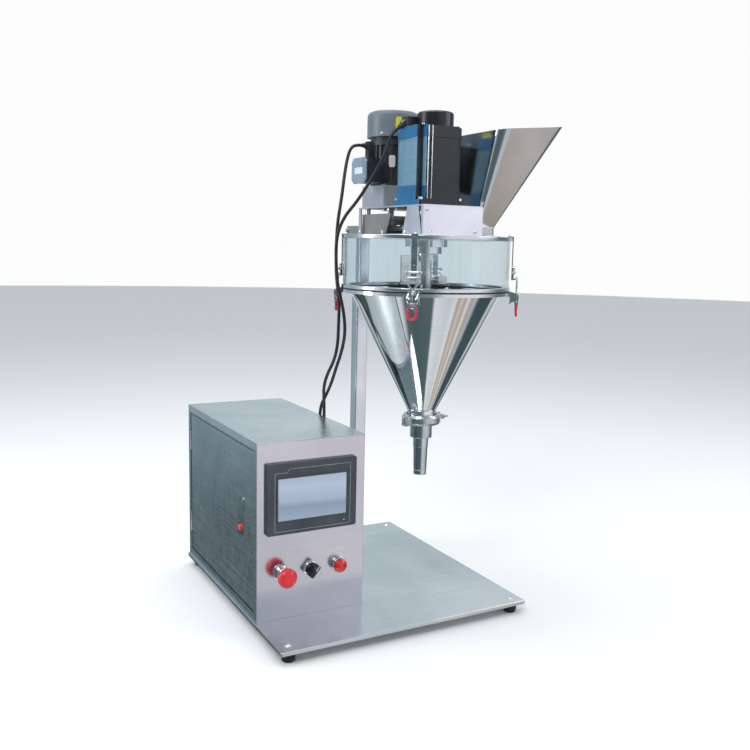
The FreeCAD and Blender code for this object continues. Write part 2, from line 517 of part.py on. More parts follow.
# shaft coupling between servo and auger shaft
cp = cyl(AX, AY, 770.0, 812.0, 15.0)
cp = cut(cp, [cyl(AX, AY, 765, 790.4, 7.05), cyl(AX, AY, 790.0, 815, 9.55),
              box(AX - 20, AY - 20, 789.4, AX + 20, AY + 20, 790.6).cut(cyl(AX, AY, 780, 800, 11.0))])

# ---------------------------------------------------------------- agitator and its drive
quill = ring(AX, AY, 540.0, 769.0, 13.0, 8.0)
quill = quill.fuse(ring(AX, AY, 712.0, 769.0, 20.0, 8.0))
ag = [quill]
# upper blade, cross arms and scraper bars following the wall
ag.append(box(AX - 62, AY - 3, 662, AX - 10, AY + 3, 724))
for sg in (-1, 1):
    q0, q1, q2, q3 = (AX + sg * 10, AY, 600), (AX + sg * 145, AY, 640), (AX + sg * 50, AY, 454), (AX + sg * 10, AY, 546)
    ag += [rod(q0, q1, 5.0), rod(q1, q2, 5.0), rod(q2, q3, 5.0), ball(q1, 5.0), ball(q2, 5.0)]
ag.append(box(AX + 28, AY - 9, 663, AX + 50, AY + 9, 680))
ag.append(rod((AX + 10, AY, 671), (AX + 30, AY, 671), 4.0))
agf = fuse(ag)
agf = agf.cut(cyl(AX, AY, 530, 780, 8.0))
node("agitator", agf)


def sprocket(x, y, z0, z1, teeth, pitch_r, bore):
    ro = pitch_r + 3.0
    s = cyl(x, y, z0, z1, ro)
    cuts = []
    for i in range(teeth):
        a = 2 * math.pi * i / teeth
        cuts.append(cyl(x + (pitch_r + 0.8) * math.cos(a), y + (pitch_r + 0.8) * math.sin(a), z0 - 1, z1 + 1, 2.9))
    s = cut(s, cuts)
    return s.cut(cyl(x, y, z0 - 5, z1 + 5, bore))


# driven sprocket hub stands on the quill's top; drive sprocket on the gearbox shaft
N1, N2 = 24, 15
P = 9.525
PR1, PR2 = P / (2 * math.sin(math.pi / N1)), P / (2 * math.sin(math.pi / N2))
SZ0, SZ1 = 779.0, 783.0
dr = sprocket(AX, AY, SZ0, SZ1, N1, PR1, 15.4)
hubr = ring(AX, AY, 773.4, SZ0 + 0.5, 23.0, 15.4)
neck = ring(AX, AY, 769.0, 774.0, 20.0, 15.4)
node("driven_sprocket", fuse([dr, hubr, neck]))
ds = sprocket(AX, GY, SZ0, SZ1, N2, PR2, 7.0)
ds = fuse([ds, ring(AX, GY, SZ1 - 0.5, 800.0, 14.0, 7.0)])
gsh = cyl(AX, GY, 776.5, 828.0, 6.98)
node("drive_sprocket", fuse([ds, gsh]))

# chain round both sprockets, a closed loop just outside the teeth
cd = GY - AY
chr_ = 3.4
r1, r2 = PR1 + chr_, PR2 + chr_


def loop(ra, rb, z0, z1):
    a = cyl(AX, AY, z0, z1, ra)
    b = cyl(AX, GY, z0, z1, rb)
    th = math.asin((ra - rb) / cd)
    p = [(AX + ra * math.cos(th), AY + ra * math.sin(th), z0), (AX + rb * math.cos(th), GY + rb * math.sin(th), z0),
         (AX - rb * math.cos(th), GY + rb * math.sin(th), z0), (AX - ra * math.cos(th), AY + ra * math.sin(th), z0)]
    return a.fuse(prism(p, (0, 0, z1 - z0))).fuse(b).removeSplitter()


chain = loop(r1 + 4.4, r2 + 4.4, SZ0 - 1.5, SZ1 + 1.5).cut(loop(r1, r2, SZ0 - 3, SZ1 + 3))
node("drive_chain", chain)

# ---------------------------------------------------------------- servo motor
def notched(x, y, z0, z1, s, n, r=0.0):
    h = s / 2.0
    b = box(x - h, y - h, z0, x + h, y + h, z1)
    for a in (-1, 1):
        for c in (-1, 1):
            b = b.cut(rbox(x + a * (h - n / 2 + 5) - n / 2 - 5, y + c * (h - n / 2 + 5) - n / 2 - 5, z0 - 1,
                           x + a * (h - n / 2 + 5) + n / 2 + 5, y + c * (h - n / 2 + 5) + n / 2 + 5, z1 + 1, 3.0))
    return b


ZS = Z_STAND
fl_s = rbox(AX - 55, AY - 55, ZS, AX + 55, AY + 55, ZS + 12, 5.0)
fl_s = cut(fl_s, [cyl(AX + a * sv, AY + b * sv, ZS - 1, ZS + 20, 3.3) for a in (-1, 1) for b in (-1, 1)])
pilot = cyl(AX, AY, ZS - 2.6, ZS + 0.5, 29.7)
shaft_bore = cyl(AX, AY, ZS - 4, ZS + 14, 9.6)
lowbell = fl_s.fuse(pilot).fuse(notched(AX, AY, ZS + 12, ZS + 40, SERVO_S - 1, 15)).cut(shaft_bore)
mid = notched(AX, AY, ZS + 40, Z_SERVO - 24, SERVO_S - 4, 14)
topbell = notched(AX, AY, Z_SERVO - 24, Z_SERVO, SERVO_S - 1, 15)
servo_shaft = cyl(AX, AY, 791.0, ZS + 13.5, 9.5)
node("servo_shaft_coupling", [cp, servo_shaft])
enc = revolve([(0.0, Z_SERVO), (38.5, Z_SERVO), (38.5, Z_ENC - 4.0), (36.0, Z_ENC - 1.0), (32.0, Z_ENC), (0.0, Z_ENC)], AX + 8.0, AY - 8.5)
node("servo_motor", [lowbell.removeSplitter(), mid, topbell, enc])

# ---------------------------------------------------------------- agitator gearmotor
gh = GEAR_S / 2
gb = rbox(AX - gh, GY - gh, ZS, AX + gh, GY + gh, Z_GEAR, 6.0)
gb = gb.cut(cyl(AX, GY, ZS - 1, ZS + 30, 7.2))
gb = cut(gb, [cyl(AX + a * 40, GY - 40, ZS - 1, ZS + 14, 3.0) for a in (-1, 1)])
node("gearbox", gb)
st = [cyl(AX, GY, Z_GEAR, Z_GEAR + 10, 50.0), cyl(AX, GY, Z_GEAR + 10, 965.0, 46.5), cyl(AX, GY, 965.0, 977.0, 50.0)]
fins = []
for i in range(24):
    a = 15.0 * i
    f = box(AX + 44, GY - 1.1, Z_GEAR + 10, AX + 51.0, GY + 1.1, 965.0)
    f.rotate(V(AX, GY, 0), V(0, 0, 1), a)
    fins.append(f)
stator = st[0].fuse(st[1:] + fins)
stator = fuse([stator, box(AX - 58, GY - 40, 886, AX - 30, GY - 4, 926), ring(AX, GY, 976.0, 986.0, 50.3, 47.6)])
node("gearmotor_stator", stator)
fc = revolve([(50.3, 983.0), (58.4, 983.0), (58.4, 1031.0), (55.2, 1037.0), (49.2, Z_FAN), (0, Z_FAN), (0, Z_FAN - 2), (48.2, Z_FAN - 2),
              (53.6, 1036.0), (56.4, 1030.5), (56.4, 985.2), (50.3, 985.2)], AX, GY)
hol = []
for k, n in ((14, 8), (24, 14), (34, 20)):
    for i in range(n):
        a = 2 * math.pi * i / n
        hol.append(cyl(AX + k * math.cos(a), GY + k * math.sin(a), Z_FAN - 5, Z_FAN + 2, 2.6))
fc = fc.cut(hol[0].multiFuse(hol[1:]))
node("fan_cover", fc)
hub = ring(AX, GY, 985.0, 1012.0, 12.0, 6.0)
fanb = []
for i in range(7):
    b = box(AX + 10, GY - 1.0, 988.0, AX + 46, GY + 1.0, 1012.0)
    b.rotate(V(AX, GY, 0), V(0, 0, 1), 360.0 / 7 * i)
    fanb.append(b)
fan = hub.fuse(fanb).fuse(cyl(AX, GY, 985, 988.5, 46.0).cut(cyl(AX, GY, 984, 990, 6.0)))
fan = fan.fuse(cyl(AX, GY, 977.4, 1014.0, 6.1))
node("motor_fan", fan.removeSplitter())

# terminal box on the left side of the gearmotor, with its cover plate
TY0, TY1, TZ0, TZ1 = 314.0, 377.0, 879.5, 930.5
TX0, TX1 = AX - 95.0, AX - 58.0
tb = rbox(TX0, TY0, TZ0, TX1, TY1, TZ1, 4.0)
tbl = prism([(TX0, TY0 + 7, TZ0 - 2), (TX0, TY1 - 7, TZ0 - 2), (TX0, TY1 + 2, TZ0 + 7), (TX0, TY1 + 2, TZ1 - 7), (TX0, TY1 - 7, TZ1 + 2),
             (TX0, TY0 + 7, TZ1 + 2), (TX0, TY0 - 2, TZ1 - 7), (TX0, TY0 - 2, TZ0 + 7)], (-7.0, 0, 0))
tsc = [dome((TX0 - 7.0, y, z), (-1, 0, 0), 3.2, 1.6) for y in (TY0 + 8, TY1 - 8) for z in (TZ0 + 7, TZ1 - 7)]
node("terminal_box", [tb, tbl] + tsc)

# ---------------------------------------------------------------- feed funnel
def rrect_wire(x0, y0, x1, y1, z, r, rise=0.0):
    e = []
    V = lambda x, y, zz: FreeCAD.Vector(x, y, zz + rise * ((x - x0) / (x1 - x0) - 0.5))
    e.append(Part.LineSegment(V(x0 + r, y0, z), V(x1 - r, y0, z)).toShape())
    e.append(Part.Arc(V(x1 - r, y0, z), V(x1 - r + r * math.sin(math.pi / 4), y0 + r - r * math.cos(math.pi / 4), z), V(x1, y0 + r, z)).toShape())
    e.append(Part.LineSegment(V(x1, y0 + r, z), V(x1, y1 - r, z)).toShape())
    e.append(Part.Arc(V(x1, y1 - r, z), V(x1 - r + r * math.cos(math.pi / 4), y1 - r + r * math.sin(math.pi / 4), z), V(x1 - r, y1, z)).toShape())
    e.append(Part.LineSegment(V(x1 - r, y1, z), V(x0 + r, y1, z)).toShape())
    e.append(Part.Arc(V(x0 + r, y1, z), V(x0 + r - r * math.sin(math.pi / 4), y1 - r + r * math.cos(math.pi / 4), z), V(x0, y1 - r, z)).toShape())
    e.append(Part.LineSegment(V(x0, y1 - r, z), V(x0, y0 + r, z)).toShape())
    e.append(Part.Arc(V(x0, y0 + r, z), V(x0 + r - r * math.cos(math.pi / 4), y0 + r - r * math.sin(math.pi / 4), z), V(x0 + r, y0, z)).toShape())
    return Part.Wire(e)


FT = 1.5
outer = Part.makeLoft([rrect_wire(NX0, NY0, NX1, NY1, Z_NECK, 9.0), rrect_wire(FX0, FY0, FX1, FY1, Z_RIM, 26.0, RIM_RISE)], True, True)
innr = Part.makeLoft([rrect_wire(NX0 + FT, NY0 + FT, NX1 - FT, NY1 - FT, Z_NECK, 7.5), rrect_wire(FX0 + FT, FY0 + FT, FX1 - FT, FY1 - FT, Z_RIM + 0.02, 24.5, RIM_RISE * (FX1 - FX0 - 2 * FT) / (FX1 - FX0))], True, True)
nk = rbox(NX0, NY0, ZL, NX1, NY1, Z_NECK, 9.0)
nki = rbox(NX0 + FT, NY0 + FT, ZL - 1, NX1 - FT, NY1 - FT, Z_NECK, 7.5)
fun = outer.fuse(nk)
ffl = rbox(NX0 - 11, NY0 - 11, ZL, NX1 + 8, NY1 + 11, ZL + 3, 6.0)
fun = fun.fuse(ffl).cut(innr.fuse(nki))
fun_holes = [(NX0 - 5.5, NY0 + 12), (NX0 - 5.5, NY1 - 12), ((NX0 + NX1) / 2, NY0 - 5.5), ((NX0 + NX1) / 2, NY1 + 5.5)]
fun = cut(fun, [cyl(x, y, ZL - 1, ZL + 4, 2.2) for x, y in fun_holes])
node("feed_funnel", fun)

# ---------------------------------------------------------------- fasteners on the head
hf = []
for a in (-1, 1):
    for b in (-1, 1):
        hf.append(fuse([hexhead(AX + a * sv, AY + b * sv, ZS + 12, 5.0, 9.0), cyl(AX + a * sv, AY + b * sv, ZS - 6.5, ZS + 12.5, 3.0)]))
for xa in (AX - 40, AX + 40):
    hf.append(fuse([hexhead(xa, GY - 40, zt - 5.0, 5.0, 9.0), cyl(xa, GY - 40, zt - 1, ZS + 12, 2.8)]))
for x, y in ((SX0 + 9, 160), (SX0 + 9, 186), (SX1 - 9, 160), (SX1 - 9, 186)):
    hf.append(dome((x, y, ZL + 3.0), (0, 0, 1), 4.6, 3.2))
for sgn, xa in ((-1, SX0), (1, SX1)):
    for y, z in ((190.0, 771.5), (286.5, 772.0), (393.0, 772.0)):
        hf.append(dome((xa, y, z), (sgn, 0, 0), 4.4, 3.6))
    hf.append(dome((xa, 262.0, 818.0), (sgn, 0, 0), 4.4, 3.6).fuse(cyl_dir((xa - sgn * 0.0, 262.0, 818.0), (-sgn, 0, 0), 9.0, 3.6)))
for x, z in ((SX0 + 18, ZL + 9), (SX1 - 18, ZL + 9), (SX0 + 9, zt - 8)):
    hf.append(dome((x, SY0, z), (0, -1, 0), 4.2, 3.0))
for x, y in fun_holes:
    hf.append(dome((x, y, ZL + 3.0), (0, 0, 1), 4.0, 3.0, 3.0, 2.0))
# stand-offs between bracket and top plate
for xa in (bx0 + 9, bx1 - 9):
    hf.append(cyl(xa, 384, bz1, zt, 6.0))
# clamp screws of the column bracket
hf.append(fuse([cyl_dir((arm0 - 1, COL_Y + 21.5, 777.5), (1, 0, 0), 60.0, 2.9), hexhead(arm0 - 4.0, COL_Y + 21.5, 777.5, 4.0, 10.0, (1, 0, 0))]))
hf.append(hexhead(arm1, COL_Y + 21.5, 777.5, 5.0, 10.0, (1, 0, 0)).cut(cyl_dir((arm1 - 1, COL_Y + 21.5, 777.5), (1, 0, 0), 10.0, 2.92)))
node("head_fasteners", hf)

# ---------------------------------------------------------------- toggle latches
LP_R, LP_Z = 197.0, 640.0        # lever pivot: radius from the hopper axis, height
BP_R, BP_Z = 194.6, 630.5        # bail pivot on the lever
BAR_R, BAR_Z = 194.4, 682.0      # bail's top bar, over the strap's tongue


def loc(az, shapes):
    out = []
    for s in shapes:
        s = s.copy()
        s.rotate(V(0, 0, 0), V(0, 0, 1), az)
        s.translate(V(AX, AY, 0))
        out.append(s)
    return out


bases, straps = [], []
for i, az in enumerate(LATCH_AZ):
    # base: plate on the flange edge with two ears and two pivot stubs
    b = box(182.05, -13, 626, 184.6, 13, 652)
    b = b.fuse(box(175.0, -8, 641.0, 183.0, 8, 643.3))
    for s in (-1, 1):
        e = prism([(183.8, s * 8.6, 628), (195.5, s * 8.6, 633.0), (201.0, s * 8.6, 637.0), (201.0, s * 8.6, 643.0), (197.5, s * 8.6, 646.5), (183.8, s * 8.6, 651.0)], (0, s * 2.2, 0))
        b = b.fuse(e)
        b = b.fuse(cyl_dir((LP_R, s * 5.4, LP_Z), (0, s, 0), 6.2, 1.9))
        b = b.fuse(cyl_dir((LP_R, s * 10.6, LP_Z), (0, s, 0), 1.2, 3.2))
    bases += loc(az, [b.removeSplitter()])
    # strap: hangs from the lid's rim, with an adjusting block, two ball nuts and a tongue
    st_ = fuse([box(172.0, -7, 765.05, 185.6, 7, 767.2), box(183.4, -6, 695.0, 185.6, 6, 767.2),
                box(183.4, -6.0, 676.0, 188.5, 6.0, 696.0),
                prism([(188.0, -4.6, 676.2), (197.4, -4.6, 677.6), (197.8, -4.6, 679.3), (188.0, -4.6, 679.3)], (0, 9.2, 0)),
                cyl_dir((184.0, 0, 701.0), (1, 0, 0), 6.2, 5.2), rod((188.6, -14.0, 692.0), (188.6, 14.0, 692.0), 2.4),
                ball((188.6, -13.0, 692.0), 4.0), ball((188.6, 13.0, 692.0), 4.0)])
    scr = dome((176.5, 0, 767.2), (0, 0, 1), 4.0, 2.6)
    straps += loc(az, [st_, scr])
    # lever: two cheeks joined by a web, ending in a U-shaped grip
    lv = []
    for s in (-1, 1):
        c = prism([(193.2, s * 6.0, 618.0), (199.6, s * 6.0, 618.0), (200.8, s * 6.0, 636.0), (199.8, s * 6.0, 643.6), (194.2, s * 6.0, 643.6), (192.0, s * 6.0, 636.0)], (0, s * 2.0, 0))
        c = c.cut(cyl_dir((LP_R, s * 5.0, LP_Z), (0, s, 0), 5.0, 1.96))
        lv.append(c)
    lv.append(box(193.2, -8, 616.0, 195.0, 8, 625.0))
    lv.append(cyl_dir((BP_R, -8.0, BP_Z), (0, 1, 0), 2.1, 1.6))
    lv.append(cyl_dir((BP_R, 5.9, BP_Z), (0, 1, 0), 2.1, 1.6))
    gr = 2.6
    gx = 196.2
    lv += [rod((gx, -8.2, 621), (gx, -8.2, 605.5), gr), rod((gx, 8.2, 621), (gx, 8.2, 605.5), gr), rod((gx, -8.2, 605.5), (gx + 0.6, -4.6, 600.8), gr),
           rod((gx, 8.2, 605.5), (gx + 0.6, 4.6, 600.8), gr), rod((gx + 0.6, -4.6, 600.8), (gx + 0.6, 4.6, 600.8), gr),
           ball((gx, -8.2, 605.5), gr), ball((gx, 8.2, 605.5), gr), ball((gx + 0.6, -4.6, 600.8), gr), ball((gx + 0.6, 4.6, 600.8), gr),
           ball((gx, -8.2, 621), gr), ball((gx, 8.2, 621), gr)]
    node("latch_lever_%d" % (i + 1), loc(az, [fuse(lv)])[0])
    # bail: cross pin, rod, triangle of wire and top bar
    w = 1.7
    pts = [(BP_R, 0, BP_Z), (BP_R + 0.6, 0, 648.0), (BP_R + 1.0, 0, 660.0)]
    bl = [cyl_dir((BP_R, -5.5, BP_Z), (0, 1, 0), 11.0, 2.0)]
    bl += [rod(pts[0], pts[1], w), rod(pts[1], pts[2], w), ball(pts[1], w), ball(pts[2], w)]
    for s in (-1, 1):
        a, b2, c2 = pts[2], (BP_R + 1.0, s * 15.5, 675.5), (BAR_R, s * 10.5, BAR_Z)
        bl += [rod(a, b2, w), rod(b2, c2, w), ball(b2, w), ball(c2, w)]
    bl.append(rod((BAR_R, -10.5, BAR_Z), (BAR_R, 10.5, BAR_Z), w))
    node("latch_bail_%d" % (i + 1), loc(az, [fuse(bl)])[0])
node("latch_fixings", bases + straps)

# ---------------------------------------------------------------- glands, connectors and cables
CR = 3.5
gl = []


def gland(p, d, l_nut, l_body, af):
    n = FreeCAD.Vector(*d)
    n.normalize()
    q = V(*p)
    parts = [hexhead(q.x, q.y, q.z, l_nut, af, (n.x, n.y, n.z))]
    q2 = q + n * (l_nut - 0.2)
    parts.append(Part.makeCone(af * 0.46, af * 0.30, l_body, q2, n))
    return fuse(parts), q2 + n * l_body


# elbow on the terminal box, slanted plug on the encoder cap, two elbows on the cabinet's right side
TGX, TGY = AX - 75.0, 346.0
elA = fuse([hexhead(TGX, TGY, TZ1, 6.0, 18.0), rbox(TGX - 8, TGY - 8, TZ1 + 5.5, TGX + 8, TGY + 8, TZ1 + 38.0, 3.0)])
nA, pA = gland((TGX - 7.5, TGY, TZ1 + 29.0), (-1, 0, 0), 4.0, 9.0, 13.0)
gA = elA.fuse(nA)
plug = rbox(AX - 52.0, AY + 4, Z_SERVO, AX - 8.0, AY + 34, Z_SERVO + 21, 5.0).cut(enc)
nB, pB = gland((AX - 46.0, AY + 19.0, Z_SERVO + 12.0), (-0.80, 0.06, -0.60), 14.0, 9.0, 14.0)
nB = nB.cut(box(AX - 49.5, AY - 10, Z_SERVO - 30, AX + 20, AY + 50, Z_SERVO))
gB = plug.fuse(nB).cut(enc).cut(topbell)
EC = []
for y in (361.0, 384.0):
    e = fuse([hexhead(X1, y, 322.0, 5.0, 18.0, (1, 0, 0)), cyl_dir((X1 - 9.0, y, 322.0), (1, 0, 0), 10.0, 6.0),
              rbox(X1 + 4.5, y - 8, 313.0, X1 + 20.5, y + 8, 331.5, 3.0)])
    g, q = gland((X1 + 12.5, y, 331.0), (0, 0, 1), 5.0, 10.0, 13.0)
    EC.append((e.fuse(g), q))
pC, pD = EC[0][1], EC[1][1]
node("cable_glands", [gA, gB, EC[0][0], EC[1][0]])
inlet = fuse([rbox(88, Y1, 58, 152, Y1 + 2.0, 98, 3.0, "y"), box(97, Y1 - 20, 65, 143, Y1 + 0.5, 91)])
inlet = inlet.cut(box(106, Y1 - 16, 70, 134, Y1 + 3, 86))
ipins = [box(119.0 + dx - 1, Y1 - 16.5, 77.0 + dz - 2, 119.0 + dx + 3, Y1 - 4, 77.0 + dz + 2) for dx, dz in ((-8, -2), (0, 2), (8, -2))]
node("power_inlet", [inlet.fuse(ipins[0]).fuse(ipins[1]).fuse(ipins[2])])


def route_tube(name, pts, r, end_dirs=None):
    P_ = [V(*p) for p in pts]
    n = len(P_)
    runs = [(P_[i + 1] - P_[i]).Length for i in range(n - 1)]
    edges = []
    cur = P_[0]
    radii, total = [], 0.0
    for i in range(1, n - 1):
        a = P_[i] - P_[i - 1]
        b = P_[i + 1] - P_[i]
        a.normalize()
        b.normalize()
        ang = math.acos(max(-1, min(1, a.dot(b))))
        t = 0.45 * min(runs[i - 1], runs[i])
        R = t / math.tan(ang / 2)
        radii.append((round(R, 1), round(math.degrees(ang), 1)))
        p1 = P_[i] - a * t
        p2 = P_[i] + b * t
        bis = b - a
        bis.normalize()
        c = P_[i] + bis * (R / math.cos(ang / 2))
        m = P_[i] - c
        m.normalize()
        mid_ = c + m * R
        edges.append(Part.LineSegment(cur, p1).toShape())
        edges.append(Part.Arc(p1, mid_, p2).toShape())
        total += (p1 - cur).Length + R * ang
        cur = p2
    edges.append(Part.LineSegment(cur, P_[-1]).toShape())
    total += (P_[-1] - cur).Length
    path = Part.Wire(edges)
    d0 = P_[1] - P_[0]
    d0.normalize()
    circ = Part.Wire([Part.Circle(P_[0], d0, r).toShape()])
    s = path.makePipeShell([circ], True, True)
    print(name, "runs", [round(x, 1) for x in runs], "radii", radii, "length", round(total, 1),
          "volume ratio", round(s.Volume / (math.pi * r * r * total), 4), s.isValid())
    return s


# each cable leaves its gland on the gland's own axis and ends on the axis of the cabinet gland
ROUTE_A = [(pA.x, pA.y, pA.z), (pA.x - 14, pA.y, pA.z), (pA.x - 29, pA.y - 4, pA.z - 8), (284.5, 334.0, 925.5), (274.5, 326.0, 888.0), (266.0, 320.0, 842.0),
           (255.5, 317.0, 790.0), (252.5, 315.5, 734.0), (252.5, 314.0, 677.0), (259.0, 309.0, 620.0), (257.0, 307.0, 567.0), (258.5, 313.0, 522.0), (256.0, 327.0, 486.0),
           (247.5, 342.0, 456.0), (244.0, 352.0, 426.0), (248.5, 359.0, 397.0), (pC.x, pC.y, pC.z + 25), (pC.x, pC.y, pC.z)]
ROUTE_B = [(pB.x, pB.y, pB.z), (pB.x - 0.80 * 21, pB.y + 0.06 * 21, pB.z - 0.60 * 21), (338.0, 248.0, 951.0), (327.0, 260.0, 915.0), (308.0, 274.0, 874.0),
           (286.0, 287.0, 834.0), (259.0, 297.0, 799.0), (245.0, 300.5, 756.0), (243.5, 297.0, 706.0), (245.5, 291.0, 655.0), (258.5, 287.0, 604.0), (267.5, 294.0, 555.0),
           (268.5, 312.0, 511.0), (264.5, 331.0, 472.0), (263.0, 350.0, 436.0), (258.5, 369.0, 404.0), (pD.x, pD.y, pD.z + 29), (pD.x, pD.y, pD.z)]
node("agitator_cable", route_tube("agitator_cable", ROUTE_A, CR))
node("servo_cable", route_tube("servo_cable", ROUTE_B, CR))
print("route A", [tuple(round(c, 1) for c in (x - OX, y - OY, z - OZ)) for x, y, z in ROUTE_A])
print("route B", [tuple(round(c, 1) for c in (x - OX, y - OY, z - OZ)) for x, y, z in ROUTE_B])
print(len(COUNT), "nodes", sum(COUNT.values()), "solids")
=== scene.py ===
import math

import bmesh
import bpy
from mathutils import Matrix, Vector


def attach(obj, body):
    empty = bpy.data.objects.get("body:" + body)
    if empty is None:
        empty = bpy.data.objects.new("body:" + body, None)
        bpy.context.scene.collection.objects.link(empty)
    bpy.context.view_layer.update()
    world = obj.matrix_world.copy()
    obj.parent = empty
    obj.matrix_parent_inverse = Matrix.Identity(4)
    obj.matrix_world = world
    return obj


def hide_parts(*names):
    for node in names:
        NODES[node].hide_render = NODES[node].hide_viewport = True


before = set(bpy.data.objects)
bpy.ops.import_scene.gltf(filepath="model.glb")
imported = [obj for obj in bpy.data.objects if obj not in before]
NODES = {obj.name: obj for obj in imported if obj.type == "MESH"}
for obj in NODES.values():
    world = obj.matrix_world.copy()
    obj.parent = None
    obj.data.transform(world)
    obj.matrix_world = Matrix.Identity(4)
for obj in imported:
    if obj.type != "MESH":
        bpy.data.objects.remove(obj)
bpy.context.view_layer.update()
SCENE = bpy.context.scene

# ------------------------------------------------------------------ camera, at the photograph's viewing angle
AZ, EL, ROLL = -0.5002174563762255, 0.146914537017138, 0.021555208646603055
back = Vector((math.sin(AZ) * math.cos(EL), -math.cos(AZ) * math.cos(EL), math.sin(EL)))
right = (-back).cross(Vector((0, 0, 1))).normalized()
up = right.cross(-back)
cam_x = right * math.cos(ROLL) + up * math.sin(ROLL)
cam_y = -right * math.sin(ROLL) + up * math.cos(ROLL)
cam_data = bpy.data.cameras.new("camera")
cam_data.sensor_width = 36.0
cam_data.sensor_fit = "HORIZONTAL"
cam_data.lens = 865.8086 / 750.0 * 36.0
cam_data.clip_start, cam_data.clip_end = 0.05, 60.0
camera = bpy.data.objects.new("camera", cam_data)
M = Matrix((cam_x, cam_y, back)).transposed().to_4x4()
M.translation = Vector((-0.924698, -1.681184, 0.767789))
camera.matrix_world = M
SCENE.collection.objects.link(camera)
SCENE.camera = camera
SCENE.view_settings.view_transform = "Standard"

# axes that many pieces share, in metres
HX, HY = 0.0715, -0.077          # hopper, auger and servo
GX, GY = 0.0715, 0.081           # gearmotor
MM = 0.001


def P(x, y, z):
    """A point given in millimetres from the base plate's front left corner, in the row frame."""
    return Vector(((x - 349.5) * MM, (y - 295.0) * MM, (z + 28.0) * MM))


# ------------------------------------------------------------------ materials
class Mat:
    def __init__(self, name, **sockets):
        self.m = bpy.data.materials.new(name)
        self.m.use_nodes = True
        self.nt = self.m.node_tree
        self.nt.nodes.clear()
        self.out = self.nt.nodes.new("ShaderNodeOutputMaterial")
        self.b = self.nt.nodes.new("ShaderNodeBsdfPrincipled")
        self.nt.links.new(self.b.outputs[0], self.out.inputs[0])
        self.tc = None
        self.set(**sockets)

    def set(self, **sockets):
        for k, v in sockets.items():
            self.put(self.b.inputs[k.replace("_", " ")], v)
        return self

    def put(self, socket, v):
        if isinstance(v, bpy.types.NodeSocket):
            self.nt.links.new(v, socket)
        elif isinstance(v, (tuple, list)) and socket.type == "RGBA":
            socket.default_value = (*v[:3], 1.0)
        else:
            socket.default_value = v

    def node(self, kind, **attrs):
        n = self.nt.nodes.new("ShaderNode" + kind)
        for k, v in attrs.items():
            setattr(n, k, v)
        return n

    def coords(self, scale=(1, 1, 1), rot=(0, 0, 0), loc=(0, 0, 0)):
        if self.tc is None:
            self.tc = self.node("TexCoord")
        mp = self.node("Mapping")
        mp.inputs["Scale"].default_value = scale
        mp.inputs["Rotation"].default_value = rot
        mp.inputs["Location"].default_value = loc
        self.nt.links.new(self.tc.outputs["Object"], mp.inputs["Vector"])
        return mp.outputs[0]

    def noise(self, scale, stretch=(1, 1, 1), detail=2.0, rough=0.5, dist=0.0, rot=(0, 0, 0), loc=(0, 0, 0)):
        n = self.node("TexNoise")
        self.nt.links.new(self.coords(stretch, rot, loc), n.inputs["Vector"])
        n.inputs["Scale"].default_value = scale
        n.inputs["Detail"].default_value = detail
        n.inputs["Roughness"].default_value = rough
        n.inputs["Distortion"].default_value = dist
        return n.outputs["Fac"]

    def voronoi(self, scale, stretch=(1, 1, 1), feature="F1", out="Distance"):
        n = self.node("TexVoronoi", feature=feature)
        self.nt.links.new(self.coords(stretch), n.inputs["Vector"])
        n.inputs["Scale"].default_value = scale
        return n.outputs[out]

    def wave(self, scale, stretch=(1, 1, 1), axis="X", dist=0.0, detail=0.0):
        n = self.node("TexWave", wave_type="BANDS", bands_direction=axis)
        self.nt.links.new(self.coords(stretch), n.inputs["Vector"])
        n.inputs["Scale"].default_value = scale
        n.inputs["Distortion"].default_value = dist
        n.inputs["Detail"].default_value = detail
        return n.outputs["Fac"]

    def xyz(self):
        s = self.node("SeparateXYZ")
        self.nt.links.new(self.coords(), s.inputs[0])
        return s.outputs

    def normal_xyz(self):
        self.coords()
        s = self.node("SeparateXYZ")
        self.nt.links.new(self.tc.outputs["Normal"], s.inputs[0])
        return s.outputs

    def math(self, op, a, b=None, c=None, clamp=False):
        n = self.node("Math", operation=op)
        n.use_clamp = clamp
        for i, v in enumerate((a, b, c)):
            if v is not None:
                self.put(n.inputs[i], v)
        return n.outputs[0]

    def rng(self, v, a, b, c, d, smooth=False):
        n = self.node("MapRange")
        if smooth:
            n.interpolation_type = "SMOOTHSTEP"
        self.put(n.inputs["Value"], v)
        for k, x in (("From Min", a), ("From Max", b), ("To Min", c), ("To Max", d)):
            self.put(n.inputs[k], x)
        return n.outputs[0]

    def mix(self, fac, a, b, mode="MIX"):
        n = self.node("Mix", data_type="RGBA", blend_type=mode)
        self.put(n.inputs[0], fac)
        self.put(n.inputs[6], a)
        self.put(n.inputs[7], b)
        return n.outputs[2]

    def ramp(self, fac, stops, interp="LINEAR"):
        n = self.node("ValToRGB")
        r = n.color_ramp
        r.interpolation = interp
        while len(r.elements) < len(stops):
            r.elements.new(0.5)
        for e, (p, c) in zip(r.elements, stops):
            e.position = p
            e.color = (*c[:3], 1.0) if isinstance(c, (tuple, list)) else (c, c, c, 1.0)
        self.put(n.inputs[0], fac)
        return n.outputs[0]

    def bevel(self, radius=0.0008, samples=4):
        n = self.node("Bevel", samples=samples)
        n.inputs["Radius"].default_value = radius
        return n.outputs[0]

    def bump(self, height, strength=0.3, distance=0.0005, normal=None):
        n = self.node("Bump")
        n.inputs["Strength"].default_value = strength
        n.inputs["Distance"].default_value = distance
        self.put(n.inputs["Height"], height)
        if normal is not None:
            self.nt.links.new(normal, n.inputs["Normal"])
        return n.outputs[0]


